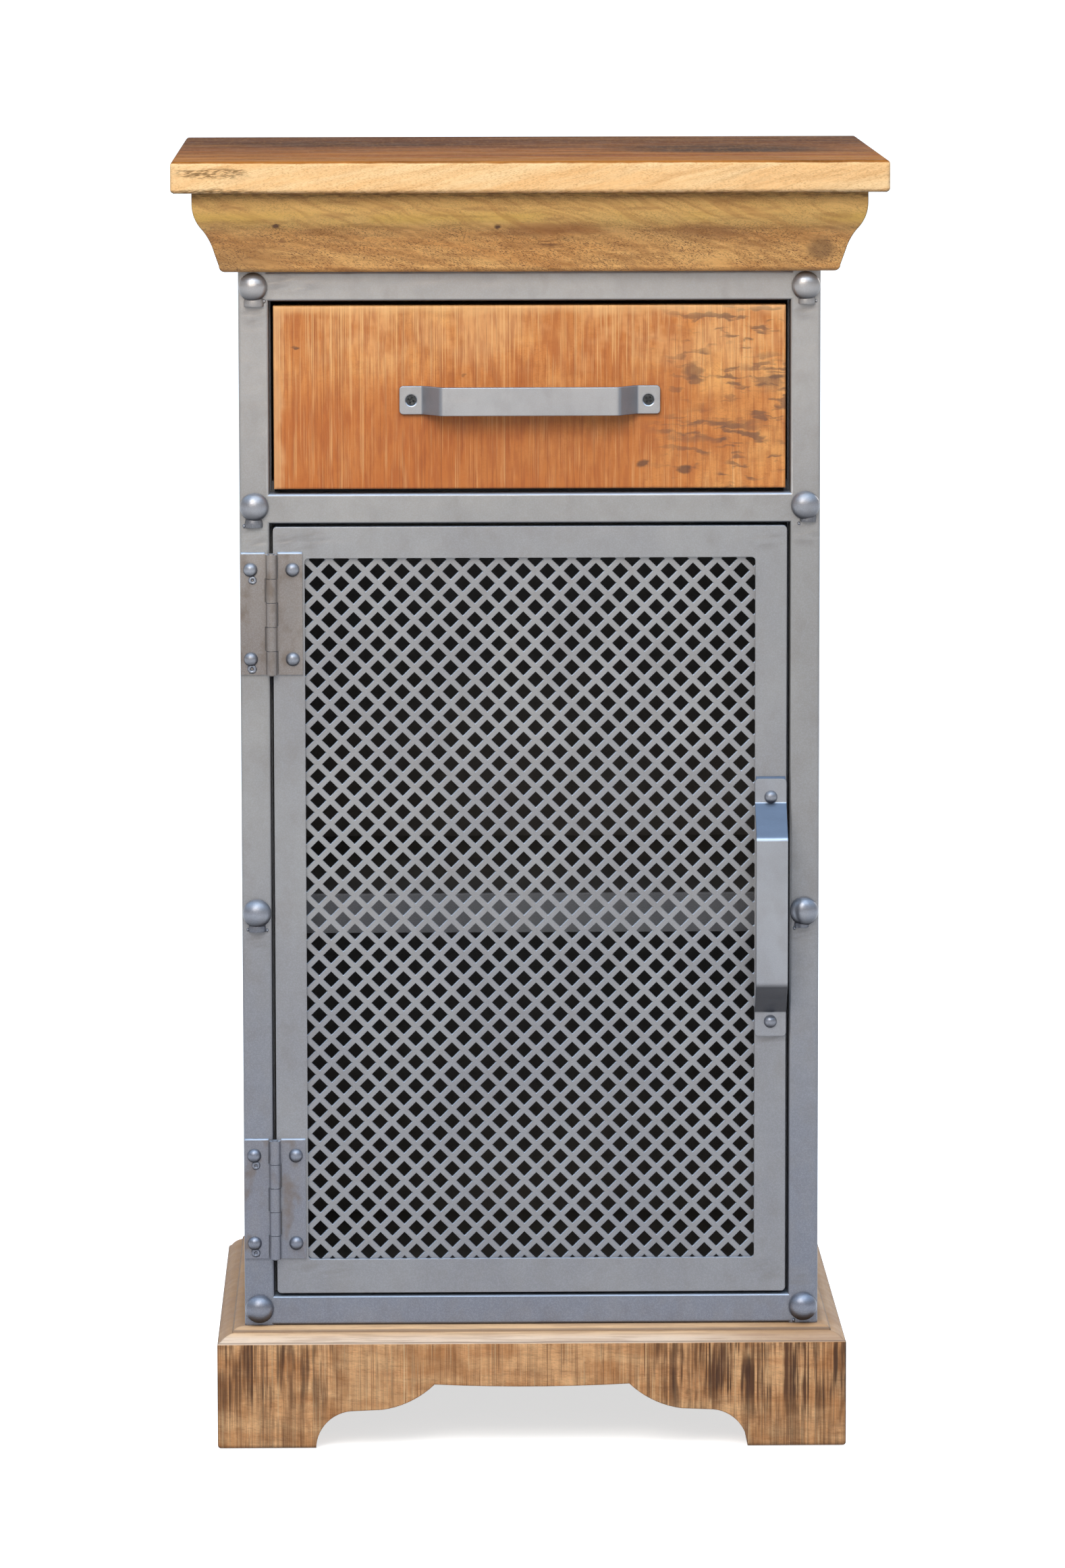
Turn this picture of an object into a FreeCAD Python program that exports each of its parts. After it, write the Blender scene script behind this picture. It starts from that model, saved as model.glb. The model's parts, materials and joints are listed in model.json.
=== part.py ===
import FreeCAD, Part
import math
import os
import re
import Sketcher

# Side cabinet: mango-wood top, cornice and plinth on a welded square-tube frame,
# with one drawer over a mesh door. Millimetres, +Z up, the front faces -Y, and the
# origin is on the floor under the middle of the top board.

doc = FreeCAD.newDocument("side_cabinet")

# Driving dimensions
SIZES = [
    ("total_tall", "825", "floor to the top of the board"),
    ("top_wide", "450", "top board, left to right"),
    ("top_deep", "350", "top board, front to back"),
    ("top_thick", "20", "top board"),
    ("top_round", "2.5", "softened edges of the top board"),
    ("top_overhang", "12.9", "board beyond the cornice"),
    ("cornice_tall", "51", "cornice height"),
    ("cornice_reach", "28.1", "cornice beyond the frame at its top"),
    ("cornice_belly", "21.5", "reach where the curve turns over"),
    ("cornice_belly_up", "27", "height of that turn"),
    ("cornice_fascia_up", "44", "height where the upright face starts"),
    ("cornice_fascia_bend", "25.2", "radius of the upper curve"),
    ("cornice_neck", "14.6", "reach at the lower end of the hollow"),
    ("cornice_neck_up", "13", "height of that end"),
    ("cornice_hollow_bend", "40", "radius of the hollow"),
    ("cornice_lip", "11.6", "reach above the lower edge"),
    ("cornice_lip_bend", "4", "radius of the lower edge"),
    ("plinth_tall", "77", "floor to the underside of the frame"),
    ("plinth_reach", "17.5", "plinth beyond the frame"),
    ("plinth_arris", "67.5", "height of the plain face"),
    ("plinth_arris_round", "1.8", "softened upper arris"),
    ("plinth_foot_round", "2.5", "softened lower arris"),
    ("plinth_bead_back", "8", "set-back of the step between the two beads"),
    ("plinth_bead_up", "73.6", "top of the outer bead"),
    ("plinth_bead_bend", "12", "radius of the outer bead"),
    ("plinth_step", "1.2", "height of the step"),
    ("plinth_inner_bead_bend", "7", "radius of the inner bead"),
    ("plinth_inner_bead_end", "2", "reach where the inner bead ends"),
    ("foot_wide", "63", "length of each foot on the floor"),
    ("bracket_quarter_wide", "22.2", "quarter round beside the foot"),
    ("bracket_quarter_bend", "24.5", "its radius"),
    ("bracket_shoulder_up", "24.2", "height of the shoulder"),
    ("bracket_shoulder_wide", "20.2", "length of the shoulder"),
    ("bracket_shoulder_rise", "0.8", "slope of the shoulder"),
    ("bracket_ogee_wide", "33.7", "curve from the shoulder to the cusp"),
    ("bracket_ogee_bend", "60", "its radius"),
    ("arch_tall", "41.4", "height of the cusps"),
    ("arch_sag", "1.6", "dip of the middle stretch between the cusps"),
    ("tube", "19", "square tube, outside"),
    ("tube_wall", "1.5", "its wall"),
    ("tube_soft", "1", "its corners, drawn as a narrow flat"),
    ("panel_sheet", "1.2", "sheet steel lining"),
    ("shelf_height", "354", "floor to the shelf's upper face"),
    ("shelf_lip", "25.5", "folded edges of the shelf"),
    ("shelf_setback", "22", "shelf behind the frame's front"),
    ("drawer_gap", "3", "gap round the drawer front"),
    ("drawer_front_tall", "116", "drawer front"),
    ("drawer_front_thick", "19", "drawer front"),
    ("drawer_front_round", "1.5", "softened edges of the drawer front"),
    ("drawer_side_thick", "12", "drawer side and back boards"),
    ("drawer_side_tall", "106", "drawer side board"),
    ("drawer_side_long", "265", "drawer side board"),
    ("drawer_side_play", "2.3", "gap from drawer side to the lining"),
    ("drawer_lift", "4", "drawer side above the lower edge of the front"),
    ("drawer_bottom_thick", "5", "drawer bottom"),
    ("drawer_bottom_up", "8", "drawer bottom above the side's lower edge"),
    ("groove_deep", "5", "groove that holds the drawer bottom"),
    ("groove_play", "0.3", "play of the bottom in its groove"),
    ("drawer_back_low", "6", "drawer back below the sides' upper edge"),
    ("runner_leg", "20", "angle-steel drawer runner"),
    ("runner_steel", "2", "its thickness"),
    ("slide_gap", "0.3", "running gap under and behind the drawer"),
    ("door_gap", "2", "gap round the door"),
    ("door_flange", "20", "face of the door's angle steel"),
    ("door_bottom_flange", "22", "face of its lower rail"),
    ("door_leg", "20", "depth of the angle steel"),
    ("door_steel", "3", "its thickness"),
    ("mesh_sheet", "1.5", "perforated sheet"),
    ("mesh_play", "0.5", "play of the sheet inside the angle frame"),
    ("mesh_pitch", "46.2", "hole to hole along a row, corner to corner"),
    ("mesh_hole", "30.6", "hole across its corners"),
    ("mesh_border", "2", "plain edge of the sheet"),
    ("hinge_tall", "77", "butt hinge"),
    ("knuckle_count", "5", "knuckles of a hinge"),
    ("hinge_inset_top", "17", "door top to the upper hinge"),
    ("hinge_inset_bottom", "23", "door foot to the lower hinge"),
    ("leaf_wide", "19.7", "pin axis to the edge of a leaf"),
    ("leaf_thick", "1.6", "hinge leaf"),
    ("knuckle_wide", "7.2", "hinge knuckle across"),
    ("knuckle_gap", "0.3", "gap between knuckles"),
    ("knuckle_clear", "0.5", "leaf edge clear of the other leaf's knuckles"),
    ("pin_wide", "4", "hinge pin"),
    ("pin_fit", "0.05", "radial clearance of the pin"),
    ("pin_proud", "0.5", "pin beyond the knuckles"),
    ("dome_wide", "19", "dome rivets on the posts"),
    ("dome_tall", "8", "their height"),
    ("dome_lift", "1.5", "domes above the rails' centre lines"),
    ("dome_flats", "2", "flats from a dome's rim to its top"),
    ("drawer_pull_long", "165", "flat-bar pull of the drawer"),
    ("drawer_pull_wide", "18", "its width"),
    ("drawer_pull_thick", "3", "its thickness"),
    ("drawer_pull_foot", "15.7", "its feet"),
    ("drawer_pull_run", "12", "run of its slopes"),
    ("drawer_pull_clear", "15", "space behind its grip"),
    ("drawer_pull_up", "56.5", "its centre above the drawer front's lower edge"),
    ("drawer_pull_holes", "150", "its two screw holes, centre to centre"),
    ("screw_sink_wide", "7.8", "countersinks of those holes"),
    ("screw_pilot_wide", "3", "pilot holes in the drawer front"),
    ("screw_pilot_deep", "13", "their depth"),
    ("door_pull_long", "166", "flat-bar pull of the door"),
    ("door_pull_wide", "20", "its width"),
    ("door_pull_thick", "3.5", "its thickness"),
    ("door_pull_foot", "17", "its feet"),
    ("door_pull_run", "20.5", "run of its slopes"),
    ("door_pull_clear", "21.5", "space behind its grip"),
    ("door_pull_up", "2.5", "its centre above the middle of the door"),
    ("door_pull_holes", "145", "its two rivet holes, centre to centre"),
    ("pull_hole_wide", "4.2", "holes in the pulls and behind the door pull"),
    ("pull_bend", "2", "inside radius of the bends"),
    ("pull_corner", "2.5", "rounded corners of the feet"),
    ("catch_wide", "40", "magnetic catch"),
    ("catch_deep", "14", "magnetic catch"),
    ("catch_hang", "16", "catch below the middle rail"),
    ("catch_from_post", "20", "catch from the right post"),
    ("cut_margin", "1", "how far a cutting shape runs past the piece"),
]

# Values that follow from the driving dimensions
FITS = [
    ("half_frame", "top_wide / 2 - top_overhang - cornice_reach", "centre to the frame's side"),
    ("half_opening", "half_frame - tube", "centre to a post's inner face"),
    ("half_inside", "half_opening - panel_sheet", "centre to the lining"),
    ("front", "-top_deep / 2 + top_overhang + cornice_reach", "front plane of the frame"),
    ("back", "top_deep / 2", "back plane of frame, cornice and plinth"),
    ("front_inner", "front + tube", "back face of the front posts"),
    ("back_inner", "back - tube", "front face of the back posts"),
    ("lining_back", "back_inner - panel_sheet", "front face of the back sheet"),
    ("bay_deep", "back_inner - front_inner", "between front and back posts"),
    ("frame_top", "total_tall - top_thick - cornice_tall", "upper end of the frame"),
    ("post_long", "frame_top - plinth_tall", "length of a post"),
    ("top_rail_low", "frame_top - tube", "underside of the top rails"),
    ("drawer_low", "top_rail_low - drawer_gap - drawer_front_tall", "drawer front's lower edge"),
    ("mid_rail_low", "drawer_low - drawer_gap - tube", "underside of the middle rails"),
    ("floor_up", "plinth_tall + tube", "upper face of the bottom rails"),
    ("shelf_rail_low", "shelf_height - panel_sheet - tube", "underside of the shelf rails"),
    ("door_low", "floor_up + door_gap", "door's lower edge"),
    ("door_tall", "mid_rail_low - door_gap - door_low", "door height"),
    ("door_wide", "2 * (half_opening - door_gap)", "door width"),
    ("drawer_wide", "2 * (half_opening - drawer_gap)", "drawer front width"),
    ("box_half", "half_inside - drawer_side_play", "centre to a drawer side's outer face"),
    ("box_low", "drawer_low + drawer_lift", "lower edge of the drawer sides"),
    ("box_front", "front + drawer_front_thick", "back face of the drawer front"),
    ("drawer_pull_height", "drawer_low + drawer_pull_up", "floor to the drawer pull's centre"),
    ("door_pull_height", "door_low + door_tall / 2 + door_pull_up", "floor to the door pull's centre"),
    ("pin_x", "-half_opening + door_gap / 2", "hinge pin axis"),
    ("pin_y", "front - knuckle_wide / 2", "hinge pin axis"),
    ("knuckle_long", "hinge_tall / knuckle_count", "one knuckle and its gap"),
    ("upper_hinge_low", "door_low + door_tall - hinge_inset_top - hinge_tall", "upper hinge"),
    ("lower_hinge_low", "door_low + hinge_inset_bottom", "lower hinge"),
    ("plinth_half", "half_frame + plinth_reach", "centre to the plinth's side"),
    ("plinth_deep", "back - front + plinth_reach", "plinth, front to back"),
]

sizes = doc.addObject("Spreadsheet::Sheet", "Sizes")
fits = doc.addObject("Spreadsheet::Sheet", "Fits")
sheet_of = {}

# Lengths that differ by less than this are taken as equal
SAME = 0.01


def bind(text):
    """An expression in alias words, with each alias given its sheet."""
    return re.sub(r"[a-z][a-z_]+", lambda found: sheet_of.get(found.group(), "") + found.group(), text)


def fill(sheet, rows, is_formula):
    for row, (alias, content, note) in enumerate(rows, start=1):
        sheet.set(f"A{row}", alias)
        sheet.set(f"B{row}", "=" + bind(content) if is_formula else content)
        sheet.setAlias(f"B{row}", alias)
        sheet.set(f"C{row}", note)
        sheet_of[alias] = sheet.Name + "."


fill(sizes, SIZES, is_formula=False)
doc.recompute()
fill(fits, FITS, is_formula=True)
doc.recompute()


def value(text):
    """The number that an expression in alias words stands for."""
    result = sizes.evalExpression(bind(text))
    return float(getattr(result, "Value", result))


parts = []


def keep(piece):
    parts.append(piece)
    return piece


def place(piece, x, y, z):
    for axis, text in zip("xyz", (x, y, z)):
        piece.setExpression(f"Placement.Base.{axis}", bind(text))
    return piece


def new_body(label):
    body = doc.addObject("PartDesign::Body", label)
    body.Label = label
    return body


def new_sketch(body, role, lift="0"):
    """A sketch on one of the body's own origin planes, lifted along its normal."""
    planes = {feature.Role: feature for feature in body.Origin.OriginFeatures}
    sketch = body.newObject("Sketcher::SketchObject", body.Label + "_sketch")
    sketch.AttachmentSupport = [(planes[role], "")]
    sketch.MapMode = "FlatFace"
    sketch.setExpression("AttachmentOffset.Base.z", bind(lift))
    return sketch


def set_datum(sketch, constraint, text):
    index = sketch.addConstraint(constraint)
    sketch.setExpression(f"Constraints[{index}]", bind(text))


def draw(sketch, path):
    """Closed outline. A corner is (x, y), or (x, y, radius, side) where the edge that
    leaves it is an arc: side 1 bows to the left of the way along, -1 to the right."""
    spots = [FreeCAD.Vector(value(corner[0]), value(corner[1]), 0) for corner in path]
    ends = []
    for index, corner in enumerate(path):
        start = spots[index]
        stop = spots[(index + 1) % len(path)]
        if len(corner) == 2:
            edge = sketch.addGeometry(Part.LineSegment(start, stop), False)
            ends.append((edge, 1, 2))
            continue
        radius = value(corner[2])
        way = stop - start
        left = FreeCAD.Vector(-way.y, way.x, 0).normalize()
        drop = math.sqrt(radius ** 2 - (way.Length / 2) ** 2)
        centre = (start + stop) * 0.5 - left * drop * corner[3]
        angles = [math.atan2(spot.y - centre.y, spot.x - centre.x) for spot in (start, stop)]
        if corner[3] > 0:
            angles.reverse()
        if angles[1] < angles[0]:
            angles[1] += 2 * math.pi
        circle = Part.Circle(centre, FreeCAD.Vector(0, 0, 1), radius)
        edge = sketch.addGeometry(Part.ArcOfCircle(circle, *angles), False)
        ends.append((edge, 2, 1) if corner[3] > 0 else (edge, 1, 2))
        set_datum(sketch, Sketcher.Constraint("Radius", edge, radius), corner[2])
    for index, (edge, first, last) in enumerate(ends):
        follower = ends[(index + 1) % len(ends)]
        sketch.addConstraint(Sketcher.Constraint("Coincident", edge, last, follower[0], follower[1]))
        for kind, text, number in (("DistanceX", path[index][0], spots[index].x),
                                   ("DistanceY", path[index][1], spots[index].y)):
            set_datum(sketch, Sketcher.Constraint(kind, -1, 1, edge, first, number), text)


def draw_rectangle(sketch, x0, y0, x1, y1):
    draw(sketch, [(x0, y0), (x1, y0), (x1, y1), (x0, y1)])


def draw_circle(sketch, x, y, radius):
    centre = FreeCAD.Vector(value(x), value(y), 0)
    edge = sketch.addGeometry(Part.Circle(centre, FreeCAD.Vector(0, 0, 1), value(radius)), False)
    set_datum(sketch, Sketcher.Constraint("Radius", edge, value(radius)), radius)
    set_datum(sketch, Sketcher.Constraint("DistanceX", -1, 1, edge, 3, centre.x), x)
    set_datum(sketch, Sketcher.Constraint("DistanceY", -1, 1, edge, 3, centre.y), y)


def pad(body, sketch, length, reverse=False):
    feature = body.newObject("PartDesign::Pad", body.Label + "_pad")
    feature.Profile = sketch
    feature.setExpression("Length", bind(length))
    feature.Reversed = reverse
    return feature


def pocket(body, sketch, length, reverse=False):
    """A cut that goes against the sketch plane's normal, or along it if reversed."""
    feature = body.newObject("PartDesign::Pocket", body.Label + "_pocket")
    feature.Profile = sketch
    feature.setExpression("Length", bind(length))
    feature.Reversed = reverse
    return feature


def dress(body, kind, names, size, text):
    """A Fillet or Chamfer on the named edges of the body's last feature."""
    base = body.Tip
    feature = body.newObject("PartDesign::" + kind, body.Label + "_" + kind.lower())
    feature.Base = (base, names)
    feature.setExpression(size, bind(text))
    return feature


def edges_where(body, test):
    """Names of the edges of the body's last feature that pass a test on the edge."""
    doc.recompute()
    return [f"Edge{number}" for number, edge in enumerate(body.Tip.Shape.Edges, start=1) if test(edge)]


def box(label, x, y, z, long, wide, tall):
    piece = doc.addObject("Part::Box", label)
    piece.Label = label
    for name, text in (("Length", long), ("Width", wide), ("Height", tall)):
        piece.setExpression(name, bind(text))
    return keep(place(piece, x, y, z))


# Top board and cornice
def make_top_board():
    body = new_body("top_board")
    sketch = new_sketch(body, "XY_Plane")
    draw_rectangle(sketch, "0", "0", "top_wide", "top_deep")
    pad(body, sketch, "top_thick")
    dress(body, "Fillet", edges_where(body, lambda edge: edge.BoundBox.ZLength < SAME),
          "Radius", "top_round")
    keep(place(body, "-top_wide / 2", "-top_deep / 2", "total_tall - top_thick"))


def cornice_path(out):
    """The moulding, with out as the sign of the direction away from the frame."""
    side = -1 if out == "-" else 1
    sign = out + "1 * "
    return [
        ("-1 * " + sign + "tube", "0"),
        (sign + "(cornice_lip - cornice_lip_bend)", "0", "cornice_lip_bend", -side),
        (sign + "cornice_lip", "cornice_lip_bend"),
        (sign + "cornice_neck", "cornice_neck_up", "cornice_hollow_bend", side),
        (sign + "cornice_belly", "cornice_belly_up", "cornice_fascia_bend", -side),
        (sign + "cornice_reach", "cornice_fascia_up"),
        (sign + "cornice_reach", "cornice_tall"),
        ("-1 * " + sign + "tube", "cornice_tall"),
    ]


def cut_front_mitres(body, reach, wide, tall):
    """Both ends of a front piece, whose left end is at x = 0 and whose face is at -reach."""
    sketch = new_sketch(body, "XY_Plane")
    low, high = f"-{reach} - cut_margin", "tube + cut_margin"
    span = f"{reach} + tube + cut_margin"
    draw(sketch, [("-cut_margin", low), (span, high), ("-cut_margin", high)])
    draw(sketch, [(f"{wide} + cut_margin", low), (f"{wide} + cut_margin", high),
                  (f"{wide} - ({span})", high)])
    pocket(body, sketch, f"{tall} + cut_margin", reverse=True)


def cut_side_mitre(body, out, reach, tall):
    """The front end of a side piece, whose end is at y = 0."""
    sketch = new_sketch(body, "XY_Plane")
    inner = f"-({out}1) * (tube + cut_margin)"
    draw(sketch, [(f"({out}1) * ({reach} + cut_margin)", "-cut_margin"), (inner, "-cut_margin"),
                  (inner, f"{reach} + tube + cut_margin")])
    pocket(body, sketch, f"{tall} + cut_margin", reverse=True)


def make_cornice():
    wide = "(2 * (half_frame + cornice_reach))"
    body = new_body("cornice_front")
    sketch = new_sketch(body, "YZ_Plane")
    draw(sketch, cornice_path("-"))
    pad(body, sketch, wide)
    cut_front_mitres(body, "cornice_reach", wide, "cornice_tall")
    keep(place(body, "-half_frame - cornice_reach", "front", "frame_top"))
    for label, out in (("cornice_left", "-"), ("cornice_right", "+")):
        body = new_body(label)
        sketch = new_sketch(body, "XZ_Plane")
        draw(sketch, cornice_path(out))
        pad(body, sketch, "back - front + cornice_reach", reverse=True)
        cut_side_mitre(body, out, "cornice_reach", "cornice_tall")
        keep(place(body, f"({out}1) * half_frame", "front - cornice_reach", "frame_top"))
    box("cornice_back_batten", "-half_opening", "back_inner", "frame_top",
        "2 * half_opening", "tube", "cornice_tall")


# Plinth
def plinth_path(out):
    side = -1 if out == "-" else 1
    sign = out + "1 * "
    return [
        ("-1 * " + sign + "tube", "0"),
        (sign + "(plinth_reach - plinth_foot_round)", "0", "plinth_foot_round", -side),
        (sign + "plinth_reach", "plinth_foot_round"),
        (sign + "plinth_reach", "plinth_arris", "plinth_arris_round", -side),
        (sign + "(plinth_reach - plinth_arris_round)", "plinth_arris + plinth_arris_round",
         "plinth_bead_bend", -side),
        (sign + "plinth_bead_back", "plinth_bead_up"),
        (sign + "plinth_bead_back", "plinth_bead_up + plinth_step", "plinth_inner_bead_bend", -side),
        (sign + "plinth_inner_bead_end", "plinth_tall"),
        ("-1 * " + sign + "tube", "plinth_tall"),
    ]


def bracket_path(wide):
    """The cut under a plinth board: foot, quarter round, shoulder, ogee, cusp, sagging middle."""
    quarter = "(foot_wide + bracket_quarter_wide)"
    shoulder = "(foot_wide + bracket_quarter_wide + bracket_shoulder_wide)"
    cusp = "(foot_wide + bracket_quarter_wide + bracket_shoulder_wide + bracket_ogee_wide)"
    sag_bend = f"((({wide}) / 2 - {cusp}) ^ 2 + arch_sag ^ 2) / (2 * arch_sag)"
    shoulder_up = "bracket_shoulder_up + bracket_shoulder_rise"
    return [
        ("foot_wide", "-cut_margin"),
        ("foot_wide", "0", "bracket_quarter_bend", 1),
        (quarter, "bracket_shoulder_up"),
        (shoulder, shoulder_up, "bracket_ogee_bend", -1),
        (cusp, "arch_tall", sag_bend, -1),
        (f"{wide} - {cusp}", "arch_tall", "bracket_ogee_bend", -1),
        (f"{wide} - {shoulder}", shoulder_up),
        (f"{wide} - {quarter}", "bracket_shoulder_up", "bracket_quarter_bend", 1),
        (f"{wide} - foot_wide", "0"),
        (f"{wide} - foot_wide", "-cut_margin"),
    ]


def make_plinth():
    wide = "(2 * plinth_half)"
    through = "plinth_reach + tube + 2 * cut_margin"
    body = new_body("plinth_front")
    sketch = new_sketch(body, "YZ_Plane")
    draw(sketch, plinth_path("-"))
    pad(body, sketch, wide)
    cut_front_mitres(body, "plinth_reach", wide, "plinth_tall")
    sketch = new_sketch(body, "XZ_Plane", "plinth_reach + cut_margin")
    draw(sketch, bracket_path(wide))
    pocket(body, sketch, through)
    keep(place(body, "-plinth_half", "front", "0"))
    for label, out in (("plinth_left", "-"), ("plinth_right", "+")):
        body = new_body(label)
        sketch = new_sketch(body, "XZ_Plane")
        draw(sketch, plinth_path(out))
        pad(body, sketch, "plinth_deep", reverse=True)
        cut_side_mitre(body, out, "plinth_reach", "plinth_tall")
        lift = "tube + cut_margin" if out == "-" else "plinth_reach + cut_margin"
        sketch = new_sketch(body, "YZ_Plane", lift)
        draw(sketch, bracket_path("plinth_deep"))
        pocket(body, sketch, through)
        keep(place(body, f"({out}1) * half_frame", "front - plinth_reach", "0"))
    box("plinth_back", "-half_opening", "back_inner", "bracket_shoulder_up",
        "2 * half_opening", "tube", "plinth_tall - bracket_shoulder_up")


# Steel frame
def make_post(label, x_out, y_out):
    """One corner post. Its outer corner, which is softened, stands at the body's origin."""
    body = new_body(label)
    sketch = new_sketch(body, "XY_Plane")

    def corner(along, across):
        return (f"-({x_out}1) * ({along})", f"-({y_out}1) * ({across})")

    draw(sketch, [corner("tube_soft", "0"), corner("tube", "0"), corner("tube", "tube"),
                  corner("0", "tube"), corner("0", "tube_soft")])
    hollow = "tube - tube_wall"
    draw(sketch, [corner("tube_wall", "tube_wall"), corner(hollow, "tube_wall"),
                  corner(hollow, hollow), corner("tube_wall", hollow)])
    pad(body, sketch, "post_long")
    y = "front" if y_out == "-" else "back"
    keep(place(body, f"({x_out}1) * half_frame", y, "plinth_tall"))


def make_rail(label, role, length, x, y, z):
    """A square tube along X on the YZ plane or along Y on the XZ plane."""
    body = new_body(label)
    sketch = new_sketch(body, role)
    low, high = "tube_soft", "tube - tube_soft"
    draw(sketch, [(low, "0"), (high, "0"), ("tube", low), ("tube", high),
                  (high, "tube"), (low, "tube"), ("0", high), ("0", low)])
    draw_rectangle(sketch, "tube_wall", "tube_wall", "tube - tube_wall", "tube - tube_wall")
    pad(body, sketch, length, reverse=(role == "XZ_Plane"))
    keep(place(body, x, y, z))


def make_frame():
    make_post("post_front_left", "-", "-")
    make_post("post_front_right", "+", "-")
    make_post("post_back_left", "-", "+")
    make_post("post_back_right", "+", "+")
    front_rails = (("top", "top_rail_low"), ("middle", "mid_rail_low"), ("bottom", "plinth_tall"))
    for level, z in front_rails:
        make_rail("rail_front_" + level, "YZ_Plane", "2 * half_opening", "-half_opening", "front", z)
    for level, z in (front_rails[0], front_rails[2]):
        make_rail("rail_back_" + level, "YZ_Plane", "2 * half_opening", "-half_opening", "back_inner", z)
    side_rails = front_rails + (("shelf", "shelf_rail_low"),)
    for side, x in (("left", "-half_frame"), ("right", "half_opening")):
        for level, z in side_rails:
            make_rail(f"rail_{side}_{level}", "XZ_Plane", "bay_deep", x, "front_inner", z)


def make_lining():
    box("side_panel_left", "-half_opening", "front_inner", "plinth_tall",
        "panel_sheet", "bay_deep", "post_long")
    box("side_panel_right", "half_inside", "front_inner", "plinth_tall",
        "panel_sheet", "bay_deep", "post_long")
    box("back_panel", "-half_inside", "lining_back", "plinth_tall",
        "2 * half_inside", "panel_sheet", "post_long")
    box("bottom_panel", "-half_inside", "front_inner", "floor_up - panel_sheet",
        "2 * half_inside", "lining_back - front_inner", "panel_sheet")
    body = new_body("shelf")
    deep = "(lining_back - front - shelf_setback)"
    sketch = new_sketch(body, "XY_Plane")
    draw_rectangle(sketch, "-half_inside", "0", "half_inside", deep)
    pad(body, sketch, "shelf_lip")
    dress(body, "Fillet", edges_where(body, is_shelf_nose), "Radius", "panel_sheet")
    sketch = new_sketch(body, "XY_Plane")
    inner = "half_inside - panel_sheet"
    draw_rectangle(sketch, f"-1 * ({inner})", "panel_sheet", inner, f"{deep} - panel_sheet")
    pocket(body, sketch, "shelf_lip - panel_sheet", reverse=True)
    keep(place(body, "0", "front + shelf_setback", "shelf_height - shelf_lip"))


def is_shelf_nose(edge):
    """The upper front edge of the shelf, which is a fold."""
    middle = edge.BoundBox.Center
    return abs(middle.y) < SAME and abs(middle.z - value("shelf_lip")) < SAME


# Dome rivets
def dome_path():
    """A dome's half outline, turned in a few narrow flats."""
    bend = "(((dome_wide / 2) ^ 2 + dome_tall ^ 2) / (2 * dome_tall))"
    turn = "(2 * atan(2 * dome_tall / dome_wide) / dome_flats)"
    path = [("0", "0"), ("0", "-dome_tall")]
    for number in range(1, int(value("dome_flats"))):
        around = f"({number} * {turn})"
        path.append((f"{bend} * sin({around})", f"{bend} * (1 - cos({around})) - dome_tall"))
    return path + [("dome_wide / 2", "0")]


def rivet_heights():
    """Heights of the dome rivets: one close under the cornice, and the others a little
    above the centre lines of their rails."""
    heights = ["frame_top - dome_wide / 2 - slide_gap"]
    for low in ("mid_rail_low", "shelf_rail_low", "plinth_tall"):
        heights.append(f"{low} + tube / 2 + dome_lift")
    return heights


def make_frame_rivets():
    body = new_body("dome_rivet")
    sketch = new_sketch(body, "XY_Plane")
    draw(sketch, dome_path())
    feature = body.newObject("PartDesign::Revolution", "dome_rivet_turn")
    feature.Profile = sketch
    feature.ReferenceAxis = (sketch, ["V_Axis"])
    feature.Angle = 360
    doc.recompute()
    make_group("frame_rivets", [(body, (x, "front", z)) for z in rivet_heights()
                                for x in ("-half_frame + tube / 2", "half_frame - tube / 2")])


def make_group(label, members):
    """One node of separate solids: each member is a body and the place of its copy."""
    group = doc.addObject("Part::Feature", label)
    group.Label = label
    copies = []
    for body, (x, y, z) in members:
        copy = body.Shape.copy()
        copy.Placement = FreeCAD.Placement(FreeCAD.Vector(value(x), value(y), value(z)), FreeCAD.Rotation())
        copies.append(copy)
    group.Shape = Part.makeCompound(copies)
    keep(group)


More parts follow.
